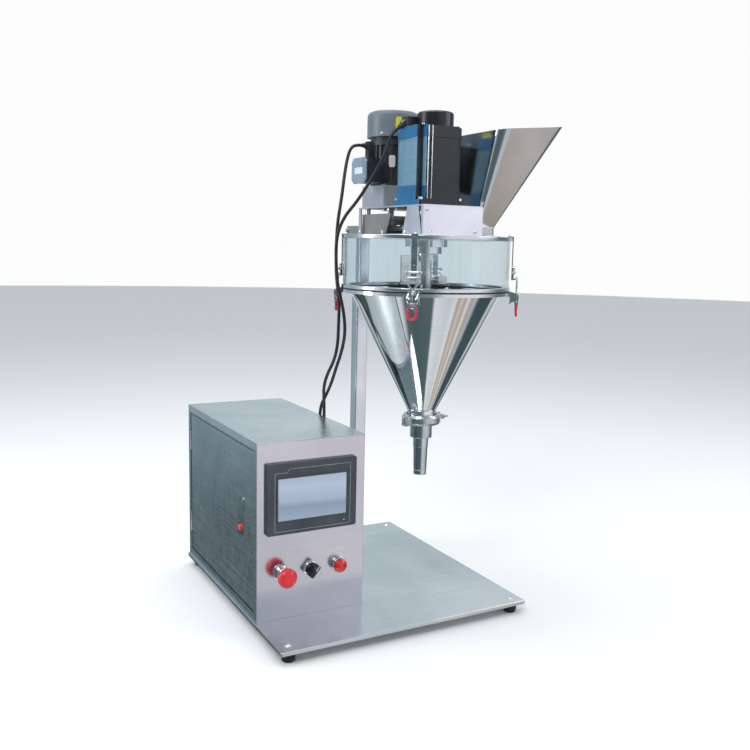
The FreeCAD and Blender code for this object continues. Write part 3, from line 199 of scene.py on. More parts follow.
def sheet_steel(name, dark, light, rough, brush=(900, 900, 5), cloud=5.0, bump=0.05, edge=0.0012, wear=0.10):
    """Brushed or satin stainless sheet: cloudy tone, fine grain along one direction, finger marks, rounded edges."""
    m = Mat(name, Metallic=1.0)
    grain = m.noise(1.0, brush, detail=2.0, rough=0.6)
    fine = m.noise(1.0, tuple(b * 0.35 for b in brush), detail=1.0)
    clouds = m.noise(cloud, detail=3.0, rough=0.55, dist=0.6)
    marks = m.noise(32.0, detail=4.0, rough=0.65)
    tone = m.math("ADD", m.math("MULTIPLY", clouds, 0.75), m.math("MULTIPLY", grain, 0.25))
    col = m.mix(m.rng(tone, 0.30, 0.70, 0.0, 1.0), dark, light)
    col = m.mix(m.rng(marks, 0.62, 0.80, 0.0, wear), col, tuple(min(1.0, c * 1.15) for c in light))
    r = m.math("ADD", m.rng(grain, 0.3, 0.7, rough[0], rough[1]), m.rng(marks, 0.35, 0.75, 0.0, 0.06))
    r = m.math("ADD", r, m.rng(fine, 0.3, 0.7, -0.02, 0.02))
    nrm = m.bevel(edge) if edge else None
    nrm = m.bump(m.math("ADD", grain, fine), bump, 0.0004, nrm)
    m.set(Base_Color=col, Roughness=r, Normal=nrm)
    return m.m


def polished_steel(name, dark, light, rough, wav=0.10, rings=(3, 3, 420), edge=0.0, seam=None, spots=0.05):
    """Mirror-polished stainless: faint polishing rings, slow waves in the rolled sheet, water spots."""
    m = Mat(name, Metallic=1.0)
    lines = m.noise(1.0, rings, detail=2.0, rough=0.6)
    slow = m.noise(9.0, detail=1.0, rough=0.4)
    spot = m.noise(70.0, detail=3.0, rough=0.6)
    col = m.mix(m.rng(slow, 0.3, 0.7, 0.0, 1.0), dark, light)
    col = m.mix(m.rng(lines, 0.45, 0.8, 0.0, 0.25), col, tuple(c * 0.82 for c in dark))
    r = m.math("ADD", m.rng(lines, 0.3, 0.7, rough[0], rough[1]), m.rng(spot, 0.60, 0.75, 0.0, spots))
    nrm = m.bevel(edge) if edge else None
    nrm = m.bump(slow, wav, 0.004, nrm)
    nrm = m.bump(lines, 0.03, 0.0003, nrm)
    m.set(Base_Color=col, Roughness=r, Normal=nrm)
    return m.m


def turned_steel(name, base, rough=(0.18, 0.34), freq=1800.0, bump=0.10):
    """Machined stainless with fine turning marks that run round the piece's upright axis."""
    m = Mat(name, Metallic=1.0)
    marks = m.noise(1.0, (6, 6, freq), detail=1.0, rough=0.5)
    tone = m.noise(38.0, detail=2.0)
    col = m.mix(m.rng(tone, 0.3, 0.7, 0.0, 1.0), tuple(c * 0.78 for c in base), base)
    m.set(Base_Color=col, Roughness=m.rng(marks, 0.3, 0.7, *rough), Normal=m.bump(marks, bump, 0.0003, m.bevel(0.0006)))
    return m.m


def screw_steel(name, base=(0.66, 0.69, 0.72), rough=(0.16, 0.38)):
    m = Mat(name, Metallic=1.0)
    g = m.noise(420.0, detail=2.0)
    t = m.noise(60.0, detail=2.0)
    m.set(Base_Color=m.mix(m.rng(t, 0.3, 0.7, 0.0, 1.0), tuple(c * 0.7 for c in base), base),
          Roughness=m.rng(g, 0.3, 0.7, *rough), Normal=m.bump(g, 0.12, 0.0002, m.bevel(0.0004)))
    return m.m


def plastic(name, dark, light, rough=(0.30, 0.42), grain=1400.0, bump=0.10, coat=0.0, dust=0.06, edge=0.0008, spec=0.5):
    """Moulded plastic or paint: fine texture, slow tone drift, a little dust and handling shine."""
    m = Mat(name)
    m.set(Specular_IOR_Level=spec)
    g = m.noise(grain, detail=1.0, rough=0.5)
    slow = m.noise(14.0, detail=3.0, rough=0.55)
    d = m.noise(90.0, detail=4.0, rough=0.7)
    col = m.mix(m.rng(slow, 0.3, 0.7, 0.0, 1.0), dark, light)
    col = m.mix(m.rng(d, 0.60, 0.82, 0.0, dust), col, (0.55, 0.57, 0.58))
    r = m.math("ADD", m.rng(slow, 0.3, 0.7, rough[0], rough[1]), m.rng(d, 0.45, 0.8, 0.0, 0.10))
    m.set(Base_Color=col, Roughness=r, Normal=m.bump(g, bump, 0.0002, m.bevel(edge)))
    if coat:
        m.set(Coat_Weight=coat, Coat_Roughness=0.08)
    return m.m


MATS = {}
# the cabinet's sides, front and top are one brushed stainless in three tints: the darker blue-grey sides are painted
# shade and painted bluish reflection, the lavender-white front is a painted reflection, the lighter top is painted
# light from above
MATS["sheet_side_painted_shade"] = sheet_steel("sheet_side_painted_shade", (0.30, 0.36, 0.39), (0.52, 0.60, 0.63), (0.20, 0.30), (900, 5, 900), 3.2, 0.05)
MATS["sheet_front_painted_reflection"] = sheet_steel("sheet_front_painted_reflection", (0.62, 0.60, 0.66), (0.80, 0.78, 0.83), (0.13, 0.21), (5, 900, 900), 3.0, 0.035)
MATS["sheet_top_painted_light"] = sheet_steel("sheet_top_painted_light", (0.50, 0.56, 0.58), (0.82, 0.86, 0.88), (0.17, 0.27), (5, 700, 900), 4.2, 0.04)
MATS["plate"] = sheet_steel("plate", (0.46, 0.53, 0.56), (0.80, 0.84, 0.87), (0.15, 0.25), (4, 650, 900), 2.6, 0.04, 0.0015)
MATS["stand"] = sheet_steel("stand", (0.66, 0.66, 0.74), (0.84, 0.84, 0.92), (0.30, 0.42), (600, 600, 6), 6.0, 0.03)
# darker beige-grey copy of the sheet steel for the bracket and its arm: painted shade and painted beige reflection
MATS["bracket"] = sheet_steel("bracket", (0.34, 0.33, 0.31), (0.52, 0.50, 0.47), (0.34, 0.46), (500, 500, 8), 8.0, 0.05)
MATS["cone"] = polished_steel("cone", (0.74, 0.77, 0.78), (0.86, 0.88, 0.89), (0.035, 0.075), 0.05, (4, 4, 360))
MATS["ring"] = polished_steel("ring", (0.70, 0.73, 0.75), (0.84, 0.86, 0.88), (0.10, 0.18), 0.03, (6, 6, 900), 0.0008)
MATS["lid"] = polished_steel("lid", (0.66, 0.70, 0.72), (0.82, 0.85, 0.87), (0.10, 0.18), 0.03, (500, 5, 40), 0.0008)
MATS["funnel"] = polished_steel("funnel", (0.50, 0.53, 0.55), (0.66, 0.69, 0.71), (0.08, 0.16), 0.10, (420, 420, 5), 0.0006)
MATS["column"] = polished_steel("column", (0.62, 0.66, 0.69), (0.80, 0.83, 0.86), (0.12, 0.22), 0.02, (900, 900, 3), 0.0015)
MATS["turned"] = turned_steel("turned", (0.74, 0.77, 0.79))
MATS["tube"] = turned_steel("tube", (0.66, 0.71, 0.73), (0.12, 0.26), 2400.0, 0.12)
MATS["cast"] = screw_steel("cast", (0.70, 0.73, 0.75), (0.20, 0.36))
MATS["screw"] = screw_steel("screw")
MATS["screw_bright"] = screw_steel("screw_bright", (0.86, 0.87, 0.88), (0.16, 0.30))
MATS["wire"] = screw_steel("wire", (0.80, 0.82, 0.84), (0.10, 0.22))
MATS["shaft"] = turned_steel("shaft", (0.58, 0.60, 0.62), (0.20, 0.34), 900.0, 0.08)
MATS["chrome"] = screw_steel("chrome", (0.78, 0.80, 0.82), (0.05, 0.12))
MATS["rubber"] = plastic("rubber", (0.010, 0.011, 0.012), (0.022, 0.023, 0.025), (0.55, 0.72), 900.0, 0.25, 0.0, 0.10, 0.0010, 0.35)
MATS["gasket"] = plastic("gasket", (0.012, 0.013, 0.014), (0.03, 0.031, 0.033), (0.50, 0.65), 800.0, 0.2, 0.0, 0.05, 0.0004, 0.4)
MATS["black_plastic"] = plastic("black_plastic", (0.012, 0.014, 0.016), (0.022, 0.026, 0.030), (0.30, 0.42), 1500.0, 0.12, 0.0, 0.05)
MATS["knob_black"] = plastic("knob_black", (0.008, 0.009, 0.011), (0.015, 0.017, 0.020), (0.18, 0.28), 1500.0, 0.06, 0.0, 0.03)
MATS["red"] = plastic("red", (0.58, 0.010, 0.018), (0.76, 0.022, 0.030), (0.24, 0.34), 1200.0, 0.05, 0.25, 0.02)
MATS["red_grip"] = plastic("red_grip", (0.55, 0.012, 0.030), (0.74, 0.030, 0.055), (0.28, 0.40), 900.0, 0.06, 0.15, 0.03)
MATS["gear_grey"] = plastic("gear_grey", (0.30, 0.34, 0.39), (0.42, 0.46, 0.52), (0.34, 0.46), 800.0, 0.14, 0.0, 0.06)
MATS["fan_grey"] = plastic("fan_grey", (0.115, 0.145, 0.180), (0.175, 0.210, 0.255), (0.30, 0.42), 1000.0, 0.12, 0.0, 0.06)
MATS["label_white"] = plastic("label_white", (0.66, 0.70, 0.74), (0.78, 0.82, 0.86), (0.32, 0.45), 600.0, 0.03, 0.0, 0.03, 0.0002)
MATS["label_yellow"] = plastic("label_yellow", (0.62, 0.60, 0.02), (0.80, 0.76, 0.03), (0.32, 0.45), 600.0, 0.03, 0.0, 0.04, 0.0002)
MATS["drive"] = plastic("drive", (0.10, 0.11, 0.12), (0.20, 0.21, 0.22), (0.40, 0.5), 900.0, 0.12)


def stator_material():
    """Cast gearmotor frame: black oven paint with a slow tone drift, fine cast grain and rounded edges."""
    m = Mat("stator")
    g = m.noise(260.0, detail=3.0, rough=0.6)
    slow = m.noise(16.0, detail=2.0)
    col = m.mix(m.rng(slow, 0.3, 0.7, 0.0, 1.0), (0.020, 0.024, 0.028), (0.045, 0.052, 0.060))
    m.set(Base_Color=col, Roughness=m.rng(g, 0.3, 0.7, 0.34, 0.52), Normal=m.bump(g, 0.25, 0.0003, m.bevel(0.0008)))
    return m.m


MATS["stator"] = stator_material()


def servo_material():
    """Square servo: black paint all round, with painted reflection on the side faces: blue on the end bells and lighter
    steel-blue over the laminations between them.
    """
    m = Mat("servo")
    s = m.xyz()
    n = m.normal_xyz()
    # faces that point sideways get the painted reflection colours; front and rear keep the black paint
    side = m.rng(m.math("ABSOLUTE", n[0]), 0.75, 0.85, 0.0, 1.0)
    z = s[2]
    mid = m.math("MULTIPLY", m.rng(z, 0.8945, 0.8955, 0.0, 1.0), m.rng(z, 0.9935, 0.9945, 1.0, 0.0))
    cap = m.rng(z, 1.0175, 1.0185, 0.0, 1.0)
    lam = m.noise(1.0, (20, 20, 2600), detail=1.0)
    slow = m.noise(18.0, detail=2.0)
    paint = m.noise(700.0, detail=2.0)
    black = m.mix(m.rng(slow, 0.3, 0.7, 0.0, 1.0), (0.006, 0.008, 0.012), (0.012, 0.016, 0.022))
    # painted reflection colours: blue on the end bells, lighter steel-blue over the laminations
    blue = m.mix(m.rng(slow, 0.3, 0.7, 0.0, 1.0), (0.012, 0.110, 0.270), (0.022, 0.170, 0.370))
    steel = m.mix(m.rng(lam, 0.3, 0.7, 0.0, 1.0), (0.115, 0.240, 0.340), (0.185, 0.330, 0.430))
    side_reflection_col = m.mix(mid, blue, steel)
    col = m.mix(m.math("MULTIPLY", side, m.math("SUBTRACT", 1.0, cap)), black, side_reflection_col)
    r = m.math("ADD", m.rng(slow, 0.3, 0.7, 0.24, 0.34), m.rng(paint, 0.3, 0.7, -0.02, 0.05))
    h = m.math("ADD", m.math("MULTIPLY", paint, 0.6), m.math("MULTIPLY", m.math("MULTIPLY", lam, mid), 1.2))
    m.set(Base_Color=col, Roughness=r, Normal=m.bump(h, 0.12, 0.0003, m.bevel(0.0008)))
    return m.m


MATS["servo"] = servo_material()


def terminal_material():
    """Terminal box: black moulded body, grey-blue cover plate, steel corner screws, told apart by how far out they stand."""
    m = Mat("terminal")
    x = m.xyz()[0]
    cover = m.rng(x, -0.0276, -0.0272, 1.0, 0.0)
    screw = m.rng(x, -0.03475, -0.03460, 1.0, 0.0)
    g = m.noise(900.0, detail=2.0)
    slow = m.noise(22.0, detail=2.0)
    black = m.mix(slow, (0.012, 0.014, 0.017), (0.026, 0.030, 0.034))
    blue = m.mix(slow, (0.20, 0.27, 0.36), (0.29, 0.37, 0.47))
    col = m.mix(cover, black, blue)
    col = m.mix(screw, col, (0.72, 0.74, 0.76))
    m.set(Base_Color=col, Metallic=screw, Roughness=m.rng(g, 0.3, 0.7, 0.28, 0.42), Normal=m.bump(g, 0.12, 0.0002, m.bevel(0.0007)))
    return m.m


MATS["terminal"] = terminal_material()


def acrylic_material():
    """Clear acrylic wall: faint blue body colour, long soft streaks from drawing and wiping, fine scratches."""
    m = Mat("acrylic", Transmission_Weight=1.0, IOR=1.12)
    streak = m.noise(1.0, (60, 60, 2.5), detail=3.0, rough=0.6)
    hair = m.noise(1.0, (6, 6, 130), detail=3.0, rough=0.65)
    slow = m.noise(7.0, detail=2.0)
    col = m.mix(m.rng(slow, 0.3, 0.7, 0.0, 1.0), (0.90, 0.945, 0.965), (0.95, 0.975, 0.985))
    col = m.mix(m.rng(streak, 0.56, 0.72, 0.0, 0.5), col, (0.84, 0.88, 0.91))
    m.set(Base_Color=col, Roughness=m.math("ADD", m.rng(hair, 0.45, 0.75, 0.02, 0.12), m.rng(streak, 0.5, 0.75, 0.0, 0.05)),
          Normal=m.bump(streak, 0.05, 0.0015))
    # the wall lets lamp light through to what stands inside it
    lp = m.node("LightPath")
    clear = m.node("BsdfTransparent")
    clear.inputs[0].default_value = (0.93, 0.96, 0.97, 1.0)
    mx = m.node("MixShader")
    m.nt.links.new(lp.outputs["Is Shadow Ray"], mx.inputs[0])
    m.nt.links.new(m.b.outputs[0], mx.inputs[1])
    m.nt.links.new(clear.outputs[0], mx.inputs[2])
    m.nt.links.new(mx.outputs[0], m.out.inputs[0])
    return m.m


MATS["acrylic"] = acrylic_material()


def cable_material():
    m = Mat("cable", Specular_IOR_Level=0.45)
    g = m.noise(900.0, detail=2.0)
    slow = m.noise(20.0, detail=3.0)
    m.set(Base_Color=m.mix(m.rng(slow, 0.3, 0.7, 0.0, 1.0), (0.010, 0.011, 0.013), (0.020, 0.022, 0.025)),
          Roughness=m.rng(slow, 0.3, 0.7, 0.32, 0.50), Normal=m.bump(g, 0.10, 0.0002))
    return m.m


MATS["cable"] = cable_material()


def screen_material():
    """Dark operator screen that glows faintly: a soft vertical gradient under a glossy touch foil."""
    m = Mat("screen", Coat_Weight=0.6, Coat_Roughness=0.06, Specular_IOR_Level=0.4)
    s = m.xyz()
    z = m.rng(s[2], 0.233, 0.319, 0.0, 1.0)
    wob = m.noise(9.0, detail=2.0)
    zz = m.math("ADD", z, m.math("MULTIPLY", m.math("SUBTRACT", wob, 0.5), 0.22))
    col = m.ramp(zz, [(0.0, (0.255, 0.315, 0.395)), (0.30, (0.200, 0.255, 0.330)), (0.42, (0.290, 0.350, 0.430)), (0.75, (0.350, 0.415, 0.510)), (1.0, (0.300, 0.360, 0.450))])
    fine = m.noise(500.0, detail=2.0)
    m.set(Base_Color=col, Emission_Color=col, Emission_Strength=0.28, Roughness=m.rng(fine, 0.3, 0.7, 0.16, 0.24))
    return m.m


MATS["screen"] = screen_material()
MATS["bezel"] = plastic("bezel", (0.030, 0.040, 0.050), (0.048, 0.062, 0.075), (0.26, 0.36), 1600.0, 0.08, 0.0, 0.04, 0.0010)
MATS["bezel_line"] = plastic("bezel_line", (0.30, 0.34, 0.38), (0.40, 0.44, 0.48), (0.3, 0.4), 900.0, 0.02, 0.0, 0.0, 0.0001)


def lens_material():
    m = Mat("lens", Coat_Weight=0.5, Coat_Roughness=0.05, Specular_IOR_Level=0.6)
    r = m.noise(600.0, detail=1.0)
    slow = m.noise(60.0, detail=1.0)
    col = m.mix(m.rng(slow, 0.3, 0.7, 0.0, 1.0), (0.36, 0.004, 0.006), (0.66, 0.020, 0.020))
    m.set(Base_Color=col, Emission_Color=(0.5, 0.01, 0.01), Emission_Strength=0.12, Roughness=m.rng(r, 0.3, 0.7, 0.10, 0.20), Normal=m.bump(r, 0.05, 0.0002))
    return m.m


MATS["lens"] = lens_material()
MATS["red_button"] = plastic("red_button", (0.80, 0.035, 0.020), (0.92, 0.060, 0.035), (0.26, 0.36), 900.0, 0.05, 0.1, 0.02)

USE = {
    "base_plate": "plate", "rubber_feet": "rubber", "base_fasteners": "screw_bright", "column": "column",
    "cabinet_body": "sheet_side_painted_shade", "cabinet_front_panel": "sheet_front_painted_reflection", "cabinet_top_cover": "sheet_top_painted_light", "side_door": "sheet_side_painted_shade",
    "door_hinges": "screw", "door_lock": "chrome", "lock_button": "red_button", "control_gear": "drive",
    "hmi_bezel": "bezel", "hmi_screen": "screen", "button_collars": "chrome", "estop_stem": "chrome", "estop_head": "red",
    "selector_knob": "knob_black", "push_button_cap": "lens", "contact_blocks": "black_plastic",
    "stand_top_plate": "stand", "stand_front_panel": "stand", "stand_side_plates": "stand", "column_bracket": "bracket",
    "hopper_lid": "lid", "sight_cylinder": "acrylic", "upper_flange": "ring", "hopper_cone": "cone", "hopper_gaskets": "gasket",
    "clamp_halves": "cast", "clamp_eye_bolt": "screw", "clamp_wing_nut": "cast", "filling_tube": "tube", "auger": "shaft",
    "servo_shaft_coupling": "shaft", "agitator": "turned", "driven_sprocket": "shaft", "drive_sprocket": "shaft", "drive_chain": "shaft",
    "servo_motor": "servo", "gearbox": "gear_grey", "gearmotor_stator": "stator", "fan_cover": "fan_grey", "motor_fan": "black_plastic",
    "terminal_box": "terminal", "feed_funnel": "funnel", "head_fasteners": "screw_bright", "latch_fixings": "wire",
    "cable_glands": "black_plastic", "power_inlet": "black_plastic", "agitator_cable": "cable", "servo_cable": "cable",
}
for i in range(1, 5):
    USE["latch_lever_%d" % i] = "wire"
    USE["latch_bail_%d" % i] = "wire"
for n, o in NODES.items():
    mat = MATS[USE[n]]
    if not o.material_slots:
        o.data.materials.append(mat)
    for s in o.material_slots:
        s.material = mat


# ------------------------------------------------------------------ building helpers
def put(name, bm, mat, body, smooth_angle=35.0, replaces=()):
    """A finished mesh piece in the row frame, smooth except at its real edges."""
    bmesh.ops.remove_doubles(bm, verts=bm.verts, dist=1e-7)
    bmesh.ops.recalc_face_normals(bm, faces=bm.faces)
    lim = math.radians(smooth_angle)
    for e in bm.edges:
        e.smooth = len(e.link_faces) == 2 and e.calc_face_angle(0.0) < lim
    for f in bm.faces:
        f.smooth = True
    me = bpy.data.meshes.new(name)
    bm.to_mesh(me)
    bm.free()
    o = bpy.data.objects.new(name, me)
    SCENE.collection.objects.link(o)
    me.materials.append(MATS[mat] if isinstance(mat, str) else mat)
    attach(o, body)
    if replaces:
        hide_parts(*replaces)
    return o


def axes_of(d):
    d = Vector(d).normalized()
    a = Vector((0, 0, 1)) if abs(d.z) < 0.9 else Vector((1, 0, 0))
    u = a.cross(d).normalized()
    return u, d.cross(u).normalized(), d


def add_lathe(bm, profile, origin, direction, seg=48):
    """Revolves (radius, height) pairs, in metres, about direction through origin. A radius of 0 closes the end."""
    u, v, d = axes_of(direction)
    o = Vector(origin)
    rows = []
    for r, h in profile:
        if r < 1e-9:
            rows.append([bm.verts.new(o + d * h)])
        else:
            rows.append([bm.verts.new(o + d * h + (u * math.cos(t) + v * math.sin(t)) * r)
                         for t in (2 * math.pi * i / seg for i in range(seg))])
    for a, b in zip(rows, rows[1:]):
        for i in range(seg):
            j = (i + 1) % seg
            if len(a) == 1 and len(b) == 1:
                continue
            if len(a) == 1:
                bm.faces.new((a[0], b[i], b[j]))
            elif len(b) == 1:
                bm.faces.new((a[i], b[0], a[j]))
            else:
                bm.faces.new((a[i], b[i], b[j], a[j]))
    return bm


def soft(profile, r=0.0004, n=3):
    """Rounds the inner corners of a lathe profile."""
    out = [profile[0]]
    for a, b, c in zip(profile, profile[1:], profile[2:]):
        A, B, C = (Vector((*p, 0.0)) for p in (a, b, c))
        la, lc = (A - B).length, (C - B).length
        t = min(r, la * 0.45, lc * 0.45)
        if t < 1e-7 or B.x < 1e-7:
            out.append(b)
            continue
        p, q = B + (A - B) * (t / la), B + (C - B) * (t / lc)
        for i in range(n + 1):
            k = i / n
            w = p * (1 - k) ** 2 + B * 2 * k * (1 - k) + q * k * k
            out.append((w.x, w.y))
    out.append(profile[-1])
    return out


def add_box(bm, lo, hi, bevel=0.0, seg=2, turn=None):
    lo, hi = Vector(lo), Vector(hi)
    vs = [bm.verts.new((x, y, z)) for x in (lo.x, hi.x) for y in (lo.y, hi.y) for z in (lo.z, hi.z)]
    quads = [(0, 1, 3, 2), (4, 6, 7, 5), (0, 4, 5, 1), (2, 3, 7, 6), (0, 2, 6, 4), (1, 5, 7, 3)]
    fs = [bm.faces.new([vs[i] for i in q]) for q in quads]
    edges = list({e for f in fs for e in f.edges})
    if bevel:
        r = bmesh.ops.bevel(bm, geom=edges, offset=bevel, segments=seg, profile=0.5, affect="EDGES", clamp_overlap=True)
        vs = list({v for f in r["faces"] for v in f.verts} | {v for v in vs if v.is_valid})
    if turn is not None:
        for v in vs:
            v.co = turn @ v.co
    return vs


def fillet(pts, r, n=6, closed=False):
    """A polyline with its corners rounded to radius about r."""
    pts = [Vector(p) for p in pts]
    N = len(pts)
    out = []
    rng = range(N) if closed else range(1, N - 1)
    if not closed:
        out.append(pts[0])
    for i in rng:
        a, b, c = pts[i - 1], pts[i], pts[(i + 1) % N]
        la, lc = (a - b).length, (c - b).length
        t = min(r, la * 0.49, lc * 0.49)
        p, q = b + (a - b) * (t / la), b + (c - b) * (t / lc)
        for k in range(n + 1):
            k = k / n
            out.append(p * (1 - k) ** 2 + b * 2 * k * (1 - k) + q * k * k)
    if not closed:
        out.append(pts[-1])
    return out


def add_tube(bm, pts, r, seg=12, closed=False, caps=True):
    """A round bar along a polyline, with rounded ends."""
    pts = [Vector(p) for p in pts]
    clean = [pts[0]]
    for p in pts[1:]:
        if (p - clean[-1]).length > 1e-6:
            clean.append(p)
    pts = clean
    N = len(pts)
    tang = []
    for i in range(N):
        a = pts[i - 1] if (i > 0 or closed) else pts[i]
        c = pts[(i + 1) % N] if (i < N - 1 or closed) else pts[i]
        tang.append((c - a).normalized())
    u, _, _ = axes_of(tang[0])
    rows = []
    for i in range(N):
        t = tang[i]
        u = (u - t * u.dot(t)).normalized()
        v = t.cross(u)
        rows.append((pts[i], u.copy(), v, t))
    if closed:
        # spread the twist that is left at the seam
        u0, v0 = rows[0][1], rows[0][2]
        ue = (rows[-1][1] - tang[0] * rows[-1][1].dot(tang[0])).normalized()
        twist = math.atan2(ue.dot(v0), ue.dot(u0))
        fixed = []
        for i, (p, uu, vv, t) in enumerate(rows):
            a = -twist * i / (N - 1)
            fixed.append((p, uu * math.cos(a) + vv * math.sin(a), -uu * math.sin(a) + vv * math.cos(a), t))
        rows = fixed
    rings = []
    if caps and not closed:
        p, uu, vv, t = rows[0]
        for k in (0.25, 0.6, 0.87):
            rings.append([bm.verts.new(p - t * r * math.sqrt(1 - k * k) * 0.6 + (uu * math.cos(a) + vv * math.sin(a)) * r * k)
                          for a in (2 * math.pi * j / seg for j in range(seg))])
    for p, uu, vv, t in rows:
        rings.append([bm.verts.new(p + (uu * math.cos(a) + vv * math.sin(a)) * r) for a in (2 * math.pi * j / seg for j in range(seg))])
    if caps and not closed:
        p, uu, vv, t = rows[-1]
        for k in (0.87, 0.6, 0.25):
            rings.append([bm.verts.new(p + t * r * math.sqrt(1 - k * k) * 0.6 + (uu * math.cos(a) + vv * math.sin(a)) * r * k)
                          for a in (2 * math.pi * j / seg for j in range(seg))])
    pairs = list(zip(rings, rings[1:])) + ([(rings[-1], rings[0])] if closed else [])
    for a, b in pairs:
        for j in range(seg):
            k = (j + 1) % seg
            bm.faces.new((a[j], a[k], b[k], b[j]))
    if not closed:
        bm.faces.new(rings[0][::-1])
        bm.faces.new(rings[-1])
    return bm


def add_plate(bm, outline, thick, bevel=0.0, seg=2):
    """A flat plate from a closed outline of 3-D points, extruded by the vector thick, with its rim eased."""
    t = Vector(thick)
    a = [bm.verts.new(Vector(p)) for p in outline]
    b = [bm.verts.new(Vector(p) + t) for p in outline]
    n = len(a)
    fs = [bm.faces.new(a), bm.faces.new(b[::-1])]
    fs += [bm.faces.new((a[i], b[i], b[(i + 1) % n], a[(i + 1) % n])) for i in range(n)]
    if bevel:
        rim = [e for f in fs[:2] for e in f.edges]
        bmesh.ops.bevel(bm, geom=rim, offset=bevel, segments=seg, profile=0.5, affect="EDGES", clamp_overlap=True)


def rounded_outline(pts, r, n=4):
    return fillet(pts, r, n, closed=True)


def cyl_patch(bm, cx, cy, r, a0, a1, z0, z1, thick=0.00025, seg=18, corner=0.002):
    """A thin sticker that follows a round casing."""
    rows_o, rows_i = [], []
    nz = 6
    for k in range(nz + 1):
        z = z0 + (z1 - z0) * k / nz
        edge = min(z - z0, z1 - z)
        pull = corner - math.sqrt(max(0.0, corner * corner - max(0.0, corner - edge) ** 2))
        d = pull / r
        o, i = [], []
        for j in range(seg + 1):
            a = a0 + d + (a1 - a0 - 2 * d) * j / seg
            o.append(bm.verts.new((cx + (r + thick) * math.cos(a), cy + (r + thick) * math.sin(a), z)))
            i.append(bm.verts.new((cx + (r - 0.0001) * math.cos(a), cy + (r - 0.0001) * math.sin(a), z)))
        rows_o.append(o)
        rows_i.append(i)
    for k in range(nz):
        for j in range(seg):
            bm.faces.new((rows_o[k][j], rows_o[k][j + 1], rows_o[k + 1][j + 1], rows_o[k + 1][j]))
            bm.faces.new((rows_i[k][j], rows_i[k + 1][j], rows_i[k + 1][j + 1], rows_i[k][j + 1]))
        bm.faces.new((rows_o[k][0], rows_o[k + 1][0], rows_i[k + 1][0], rows_i[k][0]))
        bm.faces.new((rows_o[k][-1], rows_i[k][-1], rows_i[k + 1][-1], rows_o[k + 1][-1]))
    for j in range(seg):
        bm.faces.new((rows_o[0][j], rows_i[0][j], rows_i[0][j + 1], rows_o[0][j + 1]))
        bm.faces.new((rows_o[-1][j], rows_o[-1][j + 1], rows_i[-1][j + 1], rows_i[-1][j]))


def new():
    return bmesh.new()


# ------------------------------------------------------------------ cords
def cord(name, pts, node):
    cu = bpy.data.curves.new(name, "CURVE")
    cu.dimensions = "3D"
    sp = cu.splines.new("NURBS")
    sp.points.add(len(pts) - 1)
    for p, c in zip(sp.points, pts):
        p.co = (c[0] * MM, c[1] * MM, c[2] * MM, 1.0)
    sp.order_u = 3
    sp.use_endpoint_u = True
    cu.resolution_u = 14
    cu.bevel_depth = 0.0035
    cu.bevel_resolution = 6
    cu.use_fill_caps = True
    o = bpy.data.objects.new(name, cu)
    SCENE.collection.objects.link(o)
    cu.materials.append(MATS["cable"])
    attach(o, "frame")
    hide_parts(node)
    [c * MM for c in pts[0]]
    return o


ROUTE_A = [(-23.8, 51.0, 987.5), (-37.8, 51.0, 987.5), (-52.8, 47.0, 979.5), (-65.0, 39.0, 953.5), (-75.0, 31.0, 916.0), (-83.5, 25.0, 870.0),
           (-94.0, 22.0, 818.0), (-97.0, 20.5, 762.0), (-97.0, 19.0, 705.0), (-90.5, 14.0, 648.0), (-92.5, 12.0, 595.0), (-91.0, 18.0, 550.0),
           (-93.5, 32.0, 514.0), (-102.0, 47.0, 484.0), (-105.5, 57.0, 454.0), (-101.0, 64.0, 425.0), (-99.0, 66.0, 398.8), (-99.0, 66.0, 373.8)]
ROUTE_B = [(7.3, -56.6, 1016.3), (-9.5, -55.34, 1003.7), (-11.5, -47.0, 979.0), (-22.5, -35.0, 943.0), (-41.5, -21.0, 902.0), (-63.5, -8.0, 862.0),
           (-90.5, 2.0, 827.0), (-104.5, 5.5, 784.0), (-106.0, 2.0, 734.0), (-104.0, -4.0, 683.0), (-91.0, -8.0, 632.0), (-82.0, -1.0, 583.0),
           (-81.0, 17.0, 539.0), (-85.0, 36.0, 500.0), (-86.5, 55.0, 464.0), (-91.0, 74.0, 432.0), (-99.0, 89.0, 402.8), (-99.0, 89.0, 373.8)]
cord("agitator_cord", ROUTE_A, "agitator_cable")
cord("servo_cord", ROUTE_B, "servo_cable")

